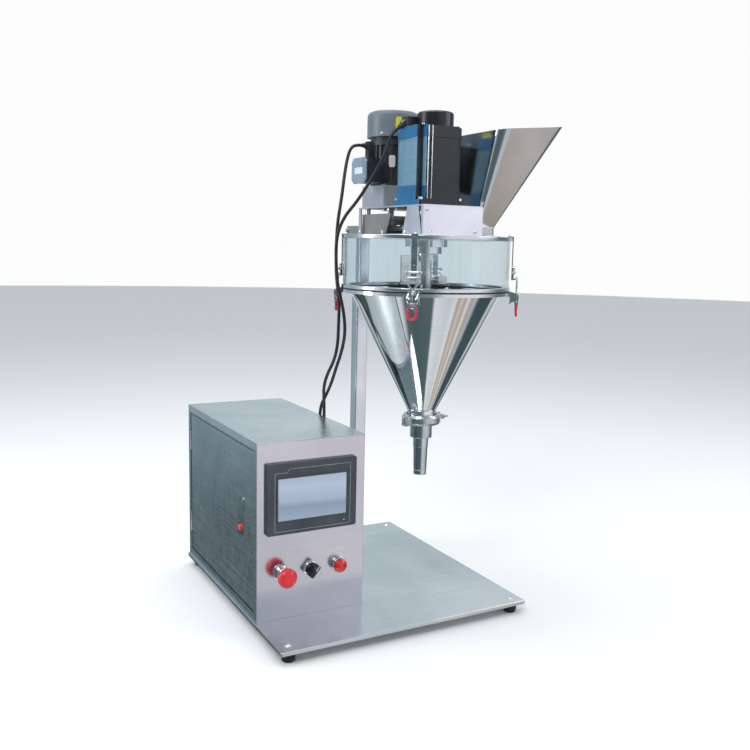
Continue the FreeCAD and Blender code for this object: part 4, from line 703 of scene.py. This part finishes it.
# ------------------------------------------------------------------ toggle latches: levers, red U grips, bent wire bails
for i, az in enumerate((231.0, 321.0, 51.0, 141.0)):
    R = Matrix.Translation((HX, HY, 0.0)) @ Matrix.Rotation(math.radians(az), 4, "Z")

    def L(r, t, z, R=R):
        return R @ Vector((r * MM, t * MM, (z + 28.0) * MM))

    tdir = (R.to_3x3() @ Vector((0, 1, 0)))
    rdir = (R.to_3x3() @ Vector((1, 0, 0)))
    bm = new()
    for s in (-1, 1):
        out = [(193.2, 617.0), (199.6, 617.0), (200.8, 636.0), (200.2, 641.0), (198.4, 643.8), (195.4, 643.8), (193.2, 641.5), (192.0, 636.0)]
        ol = rounded_outline([L(r, s * 6.0, z) for r, z in out], 1.6 * MM, 3)
        add_plate(bm, ol, tdir * (s * 2.0 * MM), 0.35 * MM)
        add_lathe(bm, soft([(0, 0), (3.0 * MM, 0), (3.0 * MM, 0.9 * MM), (1.6 * MM, 1.4 * MM), (0, 1.4 * MM)], 0.4 * MM), L(194.6, s * 8.0, 630.5), tdir * s, 20)
    # folded web between the cheeks, with a pressed rib
    add_plate(bm, rounded_outline([L(193.2, -7.9, 616.0), L(193.2, 7.9, 616.0), L(193.2, 7.9, 625.5), L(193.2, 5.0, 627.5), L(193.2, -5.0, 627.5), L(193.2, -7.9, 625.5)], 1.0 * MM, 3), rdir * (1.8 * MM), 0.3 * MM)
    add_tube(bm, [L(195.2, -4.0, 621.0), L(195.2, 4.0, 621.0)], 0.9 * MM, 10)
    put("lever_%d" % (i + 1), bm, "wire", "latch_lever_%d" % (i + 1), replaces=("latch_lever_%d" % (i + 1),))
    bm = new()
    path = [L(196.2, -8.2, 622.5), L(196.2, -8.2, 606.0), L(196.8, -5.4, 600.9), L(196.8, 5.4, 600.9), L(196.2, 8.2, 606.0), L(196.2, 8.2, 622.5)]
    add_tube(bm, fillet(path, 5.0 * MM, 8), 2.6 * MM, 16)
    for s in (-1, 1):
        # moulded shoulder where the grip's plastic meets the lever
        add_lathe(bm, soft([(0, -1.2 * MM), (2.4 * MM, -1.2 * MM), (3.15 * MM, -0.4 * MM), (3.15 * MM, 2.2 * MM), (2.3 * MM, 3.2 * MM), (0, 3.2 * MM)], 0.5 * MM), L(196.2, s * 8.2, 615.6), (0, 0, 1), 18)
    put("latch_grip_%d" % (i + 1), bm, "red_grip", "latch_lever_%d" % (i + 1), 50)
    bm = new()
    w = 1.7 * MM
    loop = [L(195.6, 0.0, 657.5), L(195.6, 15.8, 675.3), L(194.4, 10.5, 682.0), L(194.4, -10.5, 682.0), L(195.6, -15.8, 675.3)]
    add_tube(bm, fillet(loop, 3.2 * MM, 6, closed=True), w, 12, closed=True)
    add_tube(bm, fillet([L(194.6, 0, 631.0), L(195.0, 0, 640.0), L(195.2, 0, 648.0), L(195.6, 0, 658.5)], 5 * MM, 4), w, 12)
    add_tube(bm, [L(194.6, -5.2, 630.5), L(194.6, 5.2, 630.5)], 2.0 * MM, 14)
    # threaded adjusting sleeve and its lock nut on the bail's stem
    add_lathe(bm, soft([(0, 0), (2.7 * MM, 0), (2.7 * MM, 6.0 * MM), (0, 6.0 * MM)], 0.5 * MM), L(195.05, 0, 643.5), (0, 0, 1), 6)
    for k in range(5):
        add_lathe(bm, [(1.6 * MM, 0), (2.05 * MM, 0.35 * MM), (1.6 * MM, 0.7 * MM)], L(195.3, 0, 650.2 + k * 0.95), (0, 0, 1), 16)
    put("bail_%d" % (i + 1), bm, "wire", "latch_bail_%d" % (i + 1), 40, replaces=("latch_bail_%d" % (i + 1),))

# ------------------------------------------------------------------ operating buttons
OUT = Vector((0, -1, 0))
YF = P(0, 138, 0).y


def at(x, z, out=0.0):
    p = P(x, 138, z)
    return Vector((p.x, p.y - out * MM, p.z))


bm = new()
prof = [(0, 30.3), (7.1, 30.3), (7.1, 24.2), (8.4, 23.9), (13.6, 24.2), (17.0, 26.2), (19.2, 29.4), (19.95, 32.2), (19.9, 34.0), (19.1, 37.2),
        (17.1, 40.1), (14.0, 42.4), (10.0, 43.9), (5.6, 44.7), (2.2, 44.95), (0, 45.0)]
add_lathe(bm, [(r * MM, h * MM) for r, h in prof], at(55.5, 97), OUT, 72)
# grip flutes round the mushroom's rim
for v in bm.verts:
    d = v.co - at(55.5, 97)
    rr = math.hypot(d.x, d.z)
    a = math.atan2(d.z, d.x)
    h = -d.y / MM
    if rr > 0.0168 and 27.0 < h < 38.0:
        k = 1.0 - 0.010 * (0.5 + 0.5 * math.cos(a * 24))
        v.co.x = at(55.5, 97).x + d.x * k
        v.co.z = at(55.5, 97).z + d.z * k
put("estop_mushroom", bm, "red", "estop_head", 50, replaces=("estop_head",))
bm = new()
add_lathe(bm, soft([(r * MM, h * MM) for r, h in [(0, -12), (7.0, -12), (7.0, 5.0), (6.2, 5.6), (6.2, 7.2), (7.0, 7.8), (7.0, 30.0), (0, 30.0)]], 0.5 * MM), at(55.5, 97), OUT, 40)
put("estop_shaft", bm, "chrome", "estop_stem", replaces=("estop_stem",))

bm = new()
for x, z, prof in ((55.5, 97, [(7.3, -14), (11.0, -14), (11.0, 0), (14.8, 0), (14.8, 3.0), (12.8, 4.6), (12.8, 8.0), (12.2, 8.5), (12.2, 9.4), (12.8, 10.0), (12.8, 13.8), (11.6, 15.5), (7.3, 15.5), (7.3, -14)]),
                   (118.5, 97, [(7.3, -14), (11.0, -14), (11.0, 0), (14.6, 0), (14.6, 3.6), (13.4, 5.6), (11.0, 5.6), (11.0, 4.0), (7.3, 4.0), (7.3, -14)]),
                   (179.0, 97, [(7.3, -14), (11.0, -14), (11.0, 0), (16.6, 0), (16.6, 4.6), (16.1, 5.6), (16.1, 6.6), (15.8, 7.2), (15.8, 12.4), (15.2, 13.0), (13.9, 13.0), (13.9, 5.0), (7.3, 5.0), (7.3, -14)])):
    add_lathe(bm, soft([(r * MM, h * MM) for r, h in prof], 0.45 * MM), at(x, z), OUT, 64)
put("button_rings", bm, "chrome", "frame", replaces=("button_collars",))

# selector: bar knob with a white pointer line and a chamfered skirt
sx, sz = 118.5, 97.0
T = Matrix.Translation(at(sx, sz)) @ Matrix.Rotation(math.radians(40), 4, "Y")
bm = new()
add_lathe(bm, soft([(r * MM, h * MM) for r, h in [(0, -12), (7.0, -12), (7.0, 4.3), (10.6, 4.3), (10.6, 8.6), (9.4, 10.0), (0, 10.0)]], 0.5 * MM), at(sx, sz), OUT, 48)
bar = [(-4.6, -12.0), (-2.9, -14.0), (2.9, -14.0), (4.6, -12.0), (4.6, 12.0), (2.9, 14.0), (-2.9, 14.0), (-4.6, 12.0)]
outline = [T @ Vector((x * MM, -9.0 * MM, z * MM)) for x, z in bar]
add_plate(bm, outline, (0, -18.0 * MM, 0), 0.9 * MM, 3)
put("selector_bar", bm, "knob_black", "selector_knob", 40, replaces=("selector_knob",))
bm = new()
add_plate(bm, [T @ Vector((x * MM, -26.6 * MM, z * MM)) for x, z in ((-0.9, 2.0), (0.9, 2.0), (0.9, 12.8), (-0.9, 12.8))], (0, -0.5 * MM, 0), 0.1 * MM)
add_plate(bm, [T @ Vector((x * MM, y * MM, 13.9 * MM)) for x, y in ((-0.9, -25.6), (0.9, -25.6), (0.9, -10.5), (-0.9, -10.5))], T.to_3x3() @ Vector((0, 0, 0.35 * MM)), 0.1 * MM)
put("selector_pointer", bm, "label_white", "selector_knob")

# red push button: domed lens with concentric rings over a short sleeve
bm = new()
prof = [(0, -12), (7.0, -12), (7.0, 9.6), (13.5, 9.6), (13.5, 17.6), (13.0, 19.0), (12.0, 19.8)]
for k in range(11):
    r = 11.5 - k * 1.0
    h = 21.5 - 1.7 * (r / 12.0) ** 2
    prof += [(r, h), (r - 0.35, h - 0.18)]
prof += [(0.0, 21.5)]
add_lathe(bm, [(r * MM, h * MM) for r, h in prof], at(179.0, 97), OUT, 64)
put("push_button_lens", bm, "lens", "push_button", 30, replaces=("push_button_cap",))

# ------------------------------------------------------------------ operator panel trim
bm = new()
yb = YF - 9.0 * MM


def pz(x, z, out=0.0):
    p = P(x, 138, z)
    return Vector((p.x, yb - out * MM, p.z))


line = [pz(38, 302), pz(64, 302), pz(68, 309), pz(201.5, 309), pz(201.5, 184), pz(38, 184)]
pts = [Vector(p) for p in line]
for a, b in zip(pts, pts[1:] + pts[:1]):
    d = (b - a).normalized()
    n = Vector((d.z, 0, -d.x)) * 0.35 * MM
    a2, b2 = a - d * 0.35 * MM, b + d * 0.35 * MM
    add_plate(bm, [a2 + n, b2 + n, b2 - n, a2 - n], (0, -0.12 * MM, 0))
put("hmi_frame_line", bm, "bezel_line", "frame")
bm = new()
# sloped inner rim round the screen
inn = [(45.2, 205.2), (192.8, 205.2), (192.8, 289.8), (45.2, 289.8)]
outr = [(41.5, 201.5), (196.5, 201.5), (196.5, 293.5), (41.5, 293.5)]
vi = [bm.verts.new(pz(x, z, -0.4)) for x, z in inn]
vm = [bm.verts.new(pz(x + sx_ * 1.2, z + sz_ * 1.2, 0.55)) for (x, z), (sx_, sz_) in zip(inn, ((-1, -1), (1, -1), (1, 1), (-1, 1)))]
vo = [bm.verts.new(pz(x, z, 0.55)) for x, z in outr]
vb = [bm.verts.new(pz(x + sx_ * 0.6, z + sz_ * 0.6, -0.05)) for (x, z), (sx_, sz_) in zip(outr, ((-1, -1), (1, -1), (1, 1), (-1, 1)))]
for a, b in ((vi, vm), (vm, vo), (vo, vb), (vb, vi)):
    for k in range(4):
        bm.faces.new((a[k], a[(k + 1) % 4], b[(k + 1) % 4], b[k]))
put("hmi_screen_rim", bm, "bezel", "frame", 20)
bm = new()
add_lathe(bm, soft([(0, -0.2 * MM), (1.1 * MM, -0.2 * MM), (1.1 * MM, 0.3 * MM), (0, 0.5 * MM)], 0.2 * MM), pz(188, 191.5), OUT, 20)
put("hmi_lamp", bm, "label_white", "frame")

# ------------------------------------------------------------------ servo motor trim
bm = new()
# two bright steel strips near the front face's left edge: real ridges, and a painted highlight along that edge
yf = (218.0 - 53.0 - 295.0) * MM
for x in (385.0, 394.0):
    c = P(x, 0, 0).x
    add_plate(bm, [Vector((c - 1.1 * MM, yf + 0.2 * MM, 0.8690)), Vector((c + 1.1 * MM, yf + 0.2 * MM, 0.8690)), Vector((c + 1.1 * MM, yf + 0.2 * MM, 1.0165)), Vector((c - 1.1 * MM, yf + 0.2 * MM, 1.0165))], (0, -3.0 * MM, 0), 0.6 * MM, 3)
put("servo_front_highlight_ridges", bm, "screw_bright", "frame")
bm = new()
# raised frame round the side face's recessed panel, left and right
for s in (-1, 1):
    xs = HX + s * 0.0530
    for za, zb, ya, yb2 in ((0.8965, 0.8990, -0.036, 0.036), (0.9905, 0.9930, -0.036, 0.036)):
        add_box(bm, (min(xs, xs + s * 0.0007), HY + ya, za), (max(xs, xs + s * 0.0007), HY + yb2, zb), 0.0003)
    for ya in (-0.0385, 0.0360):
        add_box(bm, (min(xs, xs + s * 0.0007), HY + ya, 0.8965), (max(xs, xs + s * 0.0007), HY + ya + 0.0025, 0.9930), 0.0003)
put("servo_side_frames", bm, "servo", "frame")
bm = new()
# socket screws in the top bell's corners
for a in (-1, 1):
    for b in (-1, 1):
        add_lathe(bm, soft([(3.4 * MM, 0), (3.4 * MM, 2.6 * MM), (1.7 * MM, 2.6 * MM), (1.5 * MM, 1.0 * MM), (0, 1.0 * MM)], 0.3 * MM), (HX + a * 0.0425, HY + b * 0.0425, 1.0178), (0, 0, 1), 20)
put("servo_bell_screws", bm, "screw", "frame")

# ------------------------------------------------------------------ gearmotor trim
bm = new()
cyl_patch(bm, GX, GY, 0.0584, math.radians(-114), math.radians(-86), 1.0215, 1.0520)
put("fan_cover_label", bm, "label_yellow", "frame")
bm = new()
cyl_patch(bm, GX, GY, 0.05115, math.radians(-128), math.radians(-112), 0.944, 0.970)
put("stator_label", bm, "label_white", "frame")
bm = new()
for k in range(4):
    a = math.radians(215 + 90 * k)
    d = Vector((math.cos(a), math.sin(a), 0))
    add_lathe(bm, soft([(3.1 * MM, -0.3 * MM), (3.1 * MM, 0.7 * MM), (1.4 * MM, 1.5 * MM), (1.2 * MM, 0.7 * MM), (0, 0.7 * MM)], 0.3 * MM), Vector((GX, GY, 1.0165)) + d * 0.0583, d, 18)
put("fan_cover_screws", bm, "screw_bright", "frame")
bm = new()
x0 = P(319.0, 0, 0).x
add_plate(bm, rounded_outline([Vector((x0 + 0.1 * MM, P(0, y, 0).y, P(0, 0, z).z)) for y, z in ((327, 897.5), (364, 897.5), (364, 911.5), (327, 911.5))], 1.0 * MM, 3), (-0.35 * MM, 0, 0))
put("terminal_label", bm, "label_white", "frame")
bm = new()
# gearbox: long screws at the corners
for a in (-1, 1):
    for b in (-1, 1):
        add_lathe(bm, soft([(0, -0.4 * MM), (4.2 * MM, -0.4 * MM), (4.2 * MM, 3.2 * MM), (2.2 * MM, 3.2 * MM), (2.0 * MM, 1.4 * MM), (0, 1.4 * MM)], 0.3 * MM), (GX + a * 0.0425, GY + b * 0.0425, 0.904), (0, 0, 1), 20)
put("gearbox_screws", bm, "screw_bright", "frame")

# ------------------------------------------------------------------ roller chain round the two sprockets
PITCH = 9.525 * MM
r1 = 9.525 / (2 * math.sin(math.pi / 24)) * MM
r2 = 9.525 / (2 * math.sin(math.pi / 15)) * MM
cd = GY - HY
th = math.asin((r1 - r2) / cd)
straight = math.sqrt(cd * cd - (r1 - r2) ** 2)
segs = [("arc", (HX, HY), r1, math.pi - th, 2 * math.pi + th), ("line", (HX + r1 * math.cos(th), HY + r1 * math.sin(th)), (HX + r2 * math.cos(th), GY + r2 * math.sin(th))),
        ("arc", (GX, GY), r2, th, math.pi - th), ("line", (HX - r2 * math.cos(th), GY + r2 * math.sin(th)), (HX - r1 * math.cos(th), HY + r1 * math.sin(th)))]
lens = [r1 * (math.pi + 2 * th), straight, r2 * (math.pi - 2 * th), straight]
total = sum(lens)
count = int(round(total / PITCH / 2)) * 2


def chain_point(s):
    s = s % total
    for g, l in zip(segs, lens):
        if s <= l:
            if g[0] == "arc":
                a = g[3] + (g[4] - g[3]) * s / l
                return Vector((g[1][0] + g[2] * math.cos(a), g[1][1] + g[2] * math.sin(a), 0))
            a, b = Vector((*g[1], 0)), Vector((*g[2], 0))
            return a + (b - a) * (s / l)
        s -= l
    return Vector((HX, HY, 0))


bm = new()
zc = P(0, 0, 781.0).z
hub = [chain_point(total * k / count) for k in range(count)]
for k in range(count):
    a, b = hub[k], hub[(k + 1) % count]
    wide = k % 2
    d = (b - a).normalized()
    n = Vector((-d.y, d.x, 0))
    for sgn in (-1, 1):
        z = zc + sgn * (3.2 + (1.1 if wide else 0.0)) * MM
        ol = []
        for j in range(7):
            t = math.pi / 2 + math.pi * j / 6
            ol.append(a + d * 3.9 * MM * math.cos(t) + n * 3.9 * MM * math.sin(t))
        for j in range(7):
            t = -math.pi / 2 + math.pi * j / 6
            ol.append(b + d * 3.9 * MM * math.cos(t) + n * 3.9 * MM * math.sin(t))
        add_plate(bm, [Vector((p.x, p.y, z)) for p in ol], (0, 0, sgn * 0.9 * MM))
    add_lathe(bm, [(0, -5.6 * MM), (1.6 * MM, -5.6 * MM), (1.6 * MM, -2.6 * MM), (2.5 * MM, -2.6 * MM), (2.5 * MM, 2.6 * MM), (1.6 * MM, 2.6 * MM), (1.6 * MM, 5.6 * MM), (0, 5.6 * MM)], Vector((a.x, a.y, zc)), (0, 0, 1), 12)
put("roller_chain", bm, "shaft", "frame", 30, replaces=("drive_chain",))

# ------------------------------------------------------------------ welds and seams
bm = new()


def bead(bm, pts, r, seg=8):
    """A weld bead: a rippled half-sunk bar."""
    pts = [Vector(p) for p in pts]
    L_ = sum((b - a).length for a, b in zip(pts, pts[1:]))
    n = max(8, int(L_ / 0.0016))
    out = []
    for i in range(n + 1):
        s = L_ * i / n
        for a, b in zip(pts, pts[1:]):
            l = (b - a).length
            if s <= l + 1e-9:
                out.append(a + (b - a) * (s / l))
                break
            s -= l
    start = len(bm.verts)
    add_tube(bm, out, r, seg)
    bm.verts.ensure_lookup_table()
    for idx in range(start, len(bm.verts)):
        v = bm.verts[idx]
        v.co += Vector((math.sin(idx * 1.7), math.cos(idx * 2.3), math.sin(idx * 0.9))) * (r * 0.12)


xc, yc = P(421, 523, 0).x, P(421, 523, 0).y
h = 15.2 * MM
z0 = P(0, 0, 0).z + 0.3 * MM
bead(bm, [(xc - h, yc - h, z0), (xc + h, yc - h, z0), (xc + h, yc + h, z0), (xc - h, yc + h, z0), (xc - h, yc - h, z0)], 1.3 * MM)
put("column_weld", bm, "cast", "frame", 60)
bm = new()
# seam of the rolled cone, at the back, and the fillet weld under the flange ring
a = math.radians(83)
ca, sa = math.cos(a), math.sin(a)
seam = []
for k in range(40):
    t = k / 39
    r = (32.2 + (161.6 - 32.2) * t) * MM
    seam.append((HX + r * ca, HY + r * sa, P(0, 0, 388.5 + (642.0 - 388.5) * t).z))
add_tube(bm, seam, 0.7 * MM, 8)
ringw = [(HX + 163.0 * MM * math.cos(t), HY + 163.0 * MM * math.sin(t), P(0, 0, 643.0).z) for t in (2 * math.pi * k / 180 for k in range(180))]
add_tube(bm, ringw, 0.9 * MM, 8, closed=True)
neckw = [(HX + 32.4 * MM * math.cos(t), HY + 32.4 * MM * math.sin(t), P(0, 0, 387.6).z) for t in (2 * math.pi * k / 72 for k in range(72))]
add_tube(bm, neckw, 0.6 * MM, 8, closed=True)
put("cone_welds", bm, "cone", "frame", 60)
bm = new()
# the feed funnel's neck weld
ol = fillet([P(510, 164, 786.3), P(562, 164, 786.3), P(562, 236, 786.3), P(510, 236, 786.3)], 9 * MM, 6, closed=True)
add_tube(bm, ol, 0.8 * MM, 8, closed=True)
ol = fillet([P(509.8, 163.8, 768.6), P(562.2, 163.8, 768.6), P(562.2, 236.2, 768.6), P(509.8, 236.2, 768.6)], 9 * MM, 6, closed=True)
add_tube(bm, ol, 0.9 * MM, 8, closed=True)
put("funnel_welds", bm, "funnel", "frame", 60)

# ------------------------------------------------------------------ agitator spring on its cross pin
bm = new()
sp = []
turns, r = 7, 5.6 * MM
for k in range(turns * 16 + 1):
    t = k / 16.0 * 2 * math.pi
    sp.append((HX + (21.0 + 7.0 * k / (turns * 16.0)) * MM, HY + r * math.cos(t), P(0, 0, 671).z + r * math.sin(t)))
add_tube(bm, sp, 0.6 * MM, 8)
put("agitator_spring", bm, "wire", "agitator", 60)

# ------------------------------------------------------------------ cabinet trim: rear and top screws
bm = new()
for x in (16, 121, 226):
    add_lathe(bm, soft([(0, -0.3 * MM), (3.4 * MM, -0.3 * MM), (3.1 * MM, 0.9 * MM), (1.2 * MM, 1.5 * MM), (0, 0.8 * MM)], 0.3 * MM), P(x, 588, 355), (0, 1, 0), 18)
for y in (180, 363, 560):
    add_lathe(bm, soft([(0, -0.3 * MM), (3.4 * MM, -0.3 * MM), (3.1 * MM, 0.9 * MM), (1.2 * MM, 1.5 * MM), (0, 0.8 * MM)], 0.3 * MM), P(238, y, 355), (1, 0, 0), 18)
put("cabinet_cover_screws", bm, "screw_bright", "frame")

# ------------------------------------------------------------------ floor, light and surroundings
bm = new()
n = 48
rows = [[bm.verts.new((r * math.cos(2 * math.pi * i / n), r * math.sin(2 * math.pi * i / n), 0.0)) for i in range(n)] for r in (1.0, 4.0, 14.0)]
bm.faces.new(rows[0])
for a_, b_ in zip(rows, rows[1:]):
    for i in range(n):
        bm.faces.new((a_[i], b_[i], b_[(i + 1) % n], a_[(i + 1) % n]))
me = bpy.data.meshes.new("floor")
bm.to_mesh(me)
bm.free()
floor = bpy.data.objects.new("floor", me)
SCENE.collection.objects.link(floor)
fm = Mat("floor", Base_Color=(0.93, 0.935, 0.94), Roughness=0.9, Specular_IOR_Level=0.1)
me.materials.append(fm.m)
floor.visible_glossy = False
floor.visible_transmission = True

world = bpy.data.worlds.new("studio")
SCENE.world = world
world.use_nodes = True
nt = world.node_tree
nt.nodes.clear()


class W(Mat):
    def __init__(self, nt):
        self.nt = nt
        self.tc = None


w = W(nt)
tc = w.node("TexCoord")
sep = w.node("SeparateXYZ")
nt.links.new(tc.outputs["Generated"], sep.inputs[0])
ang = w.math("ARCTAN2", sep.outputs[1], sep.outputs[0])
t = w.math("FRACT", w.math("ADD", w.math("DIVIDE", w.math("SUBTRACT", ang, math.radians(-118.66)), 2 * math.pi), 1.5))
TEAL = (0.060, 0.098, 0.105)
TEAL2 = (0.105, 0.150, 0.160)
WHITE = (0.86, 0.86, 0.90)
LAV = (0.74, 0.74, 0.82)
TAN = (0.50, 0.40, 0.33)
GREY = (0.50, 0.56, 0.58)
low = w.ramp(t, [(0.000, TEAL), (0.070, TEAL), (0.080, GREY), (0.098, GREY), (0.108, TEAL), (0.150, TEAL), (0.175, WHITE), (0.250, LAV), (0.300, WHITE), (0.345, LAV),
                 (0.370, TEAL2), (0.420, (0.085, 0.125, 0.135)), (0.540, TEAL2), (0.556, WHITE), (0.640, (0.70, 0.74, 0.76)), (0.672, WHITE), (0.684, TAN),
                 (0.704, (0.72, 0.66, 0.60)), (0.722, TAN), (0.736, WHITE), (0.752, TAN), (0.775, GREY), (0.792, TEAL), (0.868, TEAL), (0.880, (0.62, 0.68, 0.72)),
                 (0.897, GREY), (0.912, TEAL), (1.0, TEAL)])
mid = w.ramp(t, [(0.00, (0.66, 0.74, 0.78)), (0.06, (0.50, 0.60, 0.66)), (0.13, (0.34, 0.44, 0.50)), (0.19, (0.40, 0.50, 0.56)), (0.24, (0.84, 0.86, 0.90)), (0.31, (0.80, 0.82, 0.88)),
                 (0.35, (0.16, 0.21, 0.23)), (0.46, (0.12, 0.17, 0.18)), (0.52, (0.26, 0.32, 0.34)), (0.57, (0.88, 0.86, 0.92)), (0.70, (0.92, 0.90, 0.96)), (0.75, (0.50, 0.54, 0.58)),
                 (0.80, (0.15, 0.20, 0.22)), (0.87, (0.20, 0.26, 0.28)), (0.91, (0.66, 0.70, 0.74)), (0.95, (0.80, 0.84, 0.86)), (1.00, (0.66, 0.74, 0.78))])
high = w.ramp(t, [(0.0, (0.74, 0.78, 0.80)), (0.25, (0.90, 0.92, 0.95)), (0.42, (0.22, 0.28, 0.30)), (0.58, (0.30, 0.35, 0.37)), (0.75, (0.86, 0.88, 0.92)), (1.0, (0.74, 0.78, 0.80))])
z = sep.outputs[2]
c = w.mix(w.rng(z, -0.32, -0.20, 0.0, 1.0), low, mid)
c = w.mix(w.rng(z, 0.35, 0.62, 0.0, 1.0), c, high)
lp = w.node("LightPath")
bg_env = w.node("Background")
bg_env.inputs[1].default_value = 0.92
nt.links.new(c, bg_env.inputs[0])
bg_cam = w.node("Background")
bg_cam.inputs[0].default_value = (0.975, 0.978, 0.982, 1)
bg_cam.inputs[1].default_value = 1.0
mx = w.node("MixShader")
nt.links.new(lp.outputs["Is Camera Ray"], mx.inputs[0])
nt.links.new(bg_env.outputs[0], mx.inputs[1])
nt.links.new(bg_cam.outputs[0], mx.inputs[2])
wo = w.node("OutputWorld")
nt.links.new(mx.outputs[0], wo.inputs[0])


def area(name, loc, aim, size, power, colour=(1, 1, 1), glossy=True):
    d = bpy.data.lights.new(name, "AREA")
    d.shape = "RECTANGLE"
    d.size, d.size_y = size
    d.energy = power
    d.color = colour
    o = bpy.data.objects.new(name, d)
    o.location = loc
    o.rotation_mode = "QUATERNION"
    o.rotation_quaternion = (Vector(aim) - Vector(loc)).to_track_quat("-Z", "Y")
    SCENE.collection.objects.link(o)
    o.visible_camera = False
    o.visible_glossy = glossy
    return o


area("key", (-1.9, -1.6, 2.9), (0, 0, 0.4), (1.6, 1.6), 42, (1.0, 0.99, 0.98))
area("fill", (2.2, -1.5, 1.7), (0, 0, 0.5), (1.4, 1.6), 16, (0.95, 0.97, 1.0))
area("top", (0.1, 0.5, 3.2), (0, 0, 0.4), (2.2, 2.2), 34, (1, 1, 1))
area("left_strip", (-2.4, 0.9, 1.3), (0, 0, 0.6), (0.7, 1.8), 18, (0.94, 0.97, 1.0))
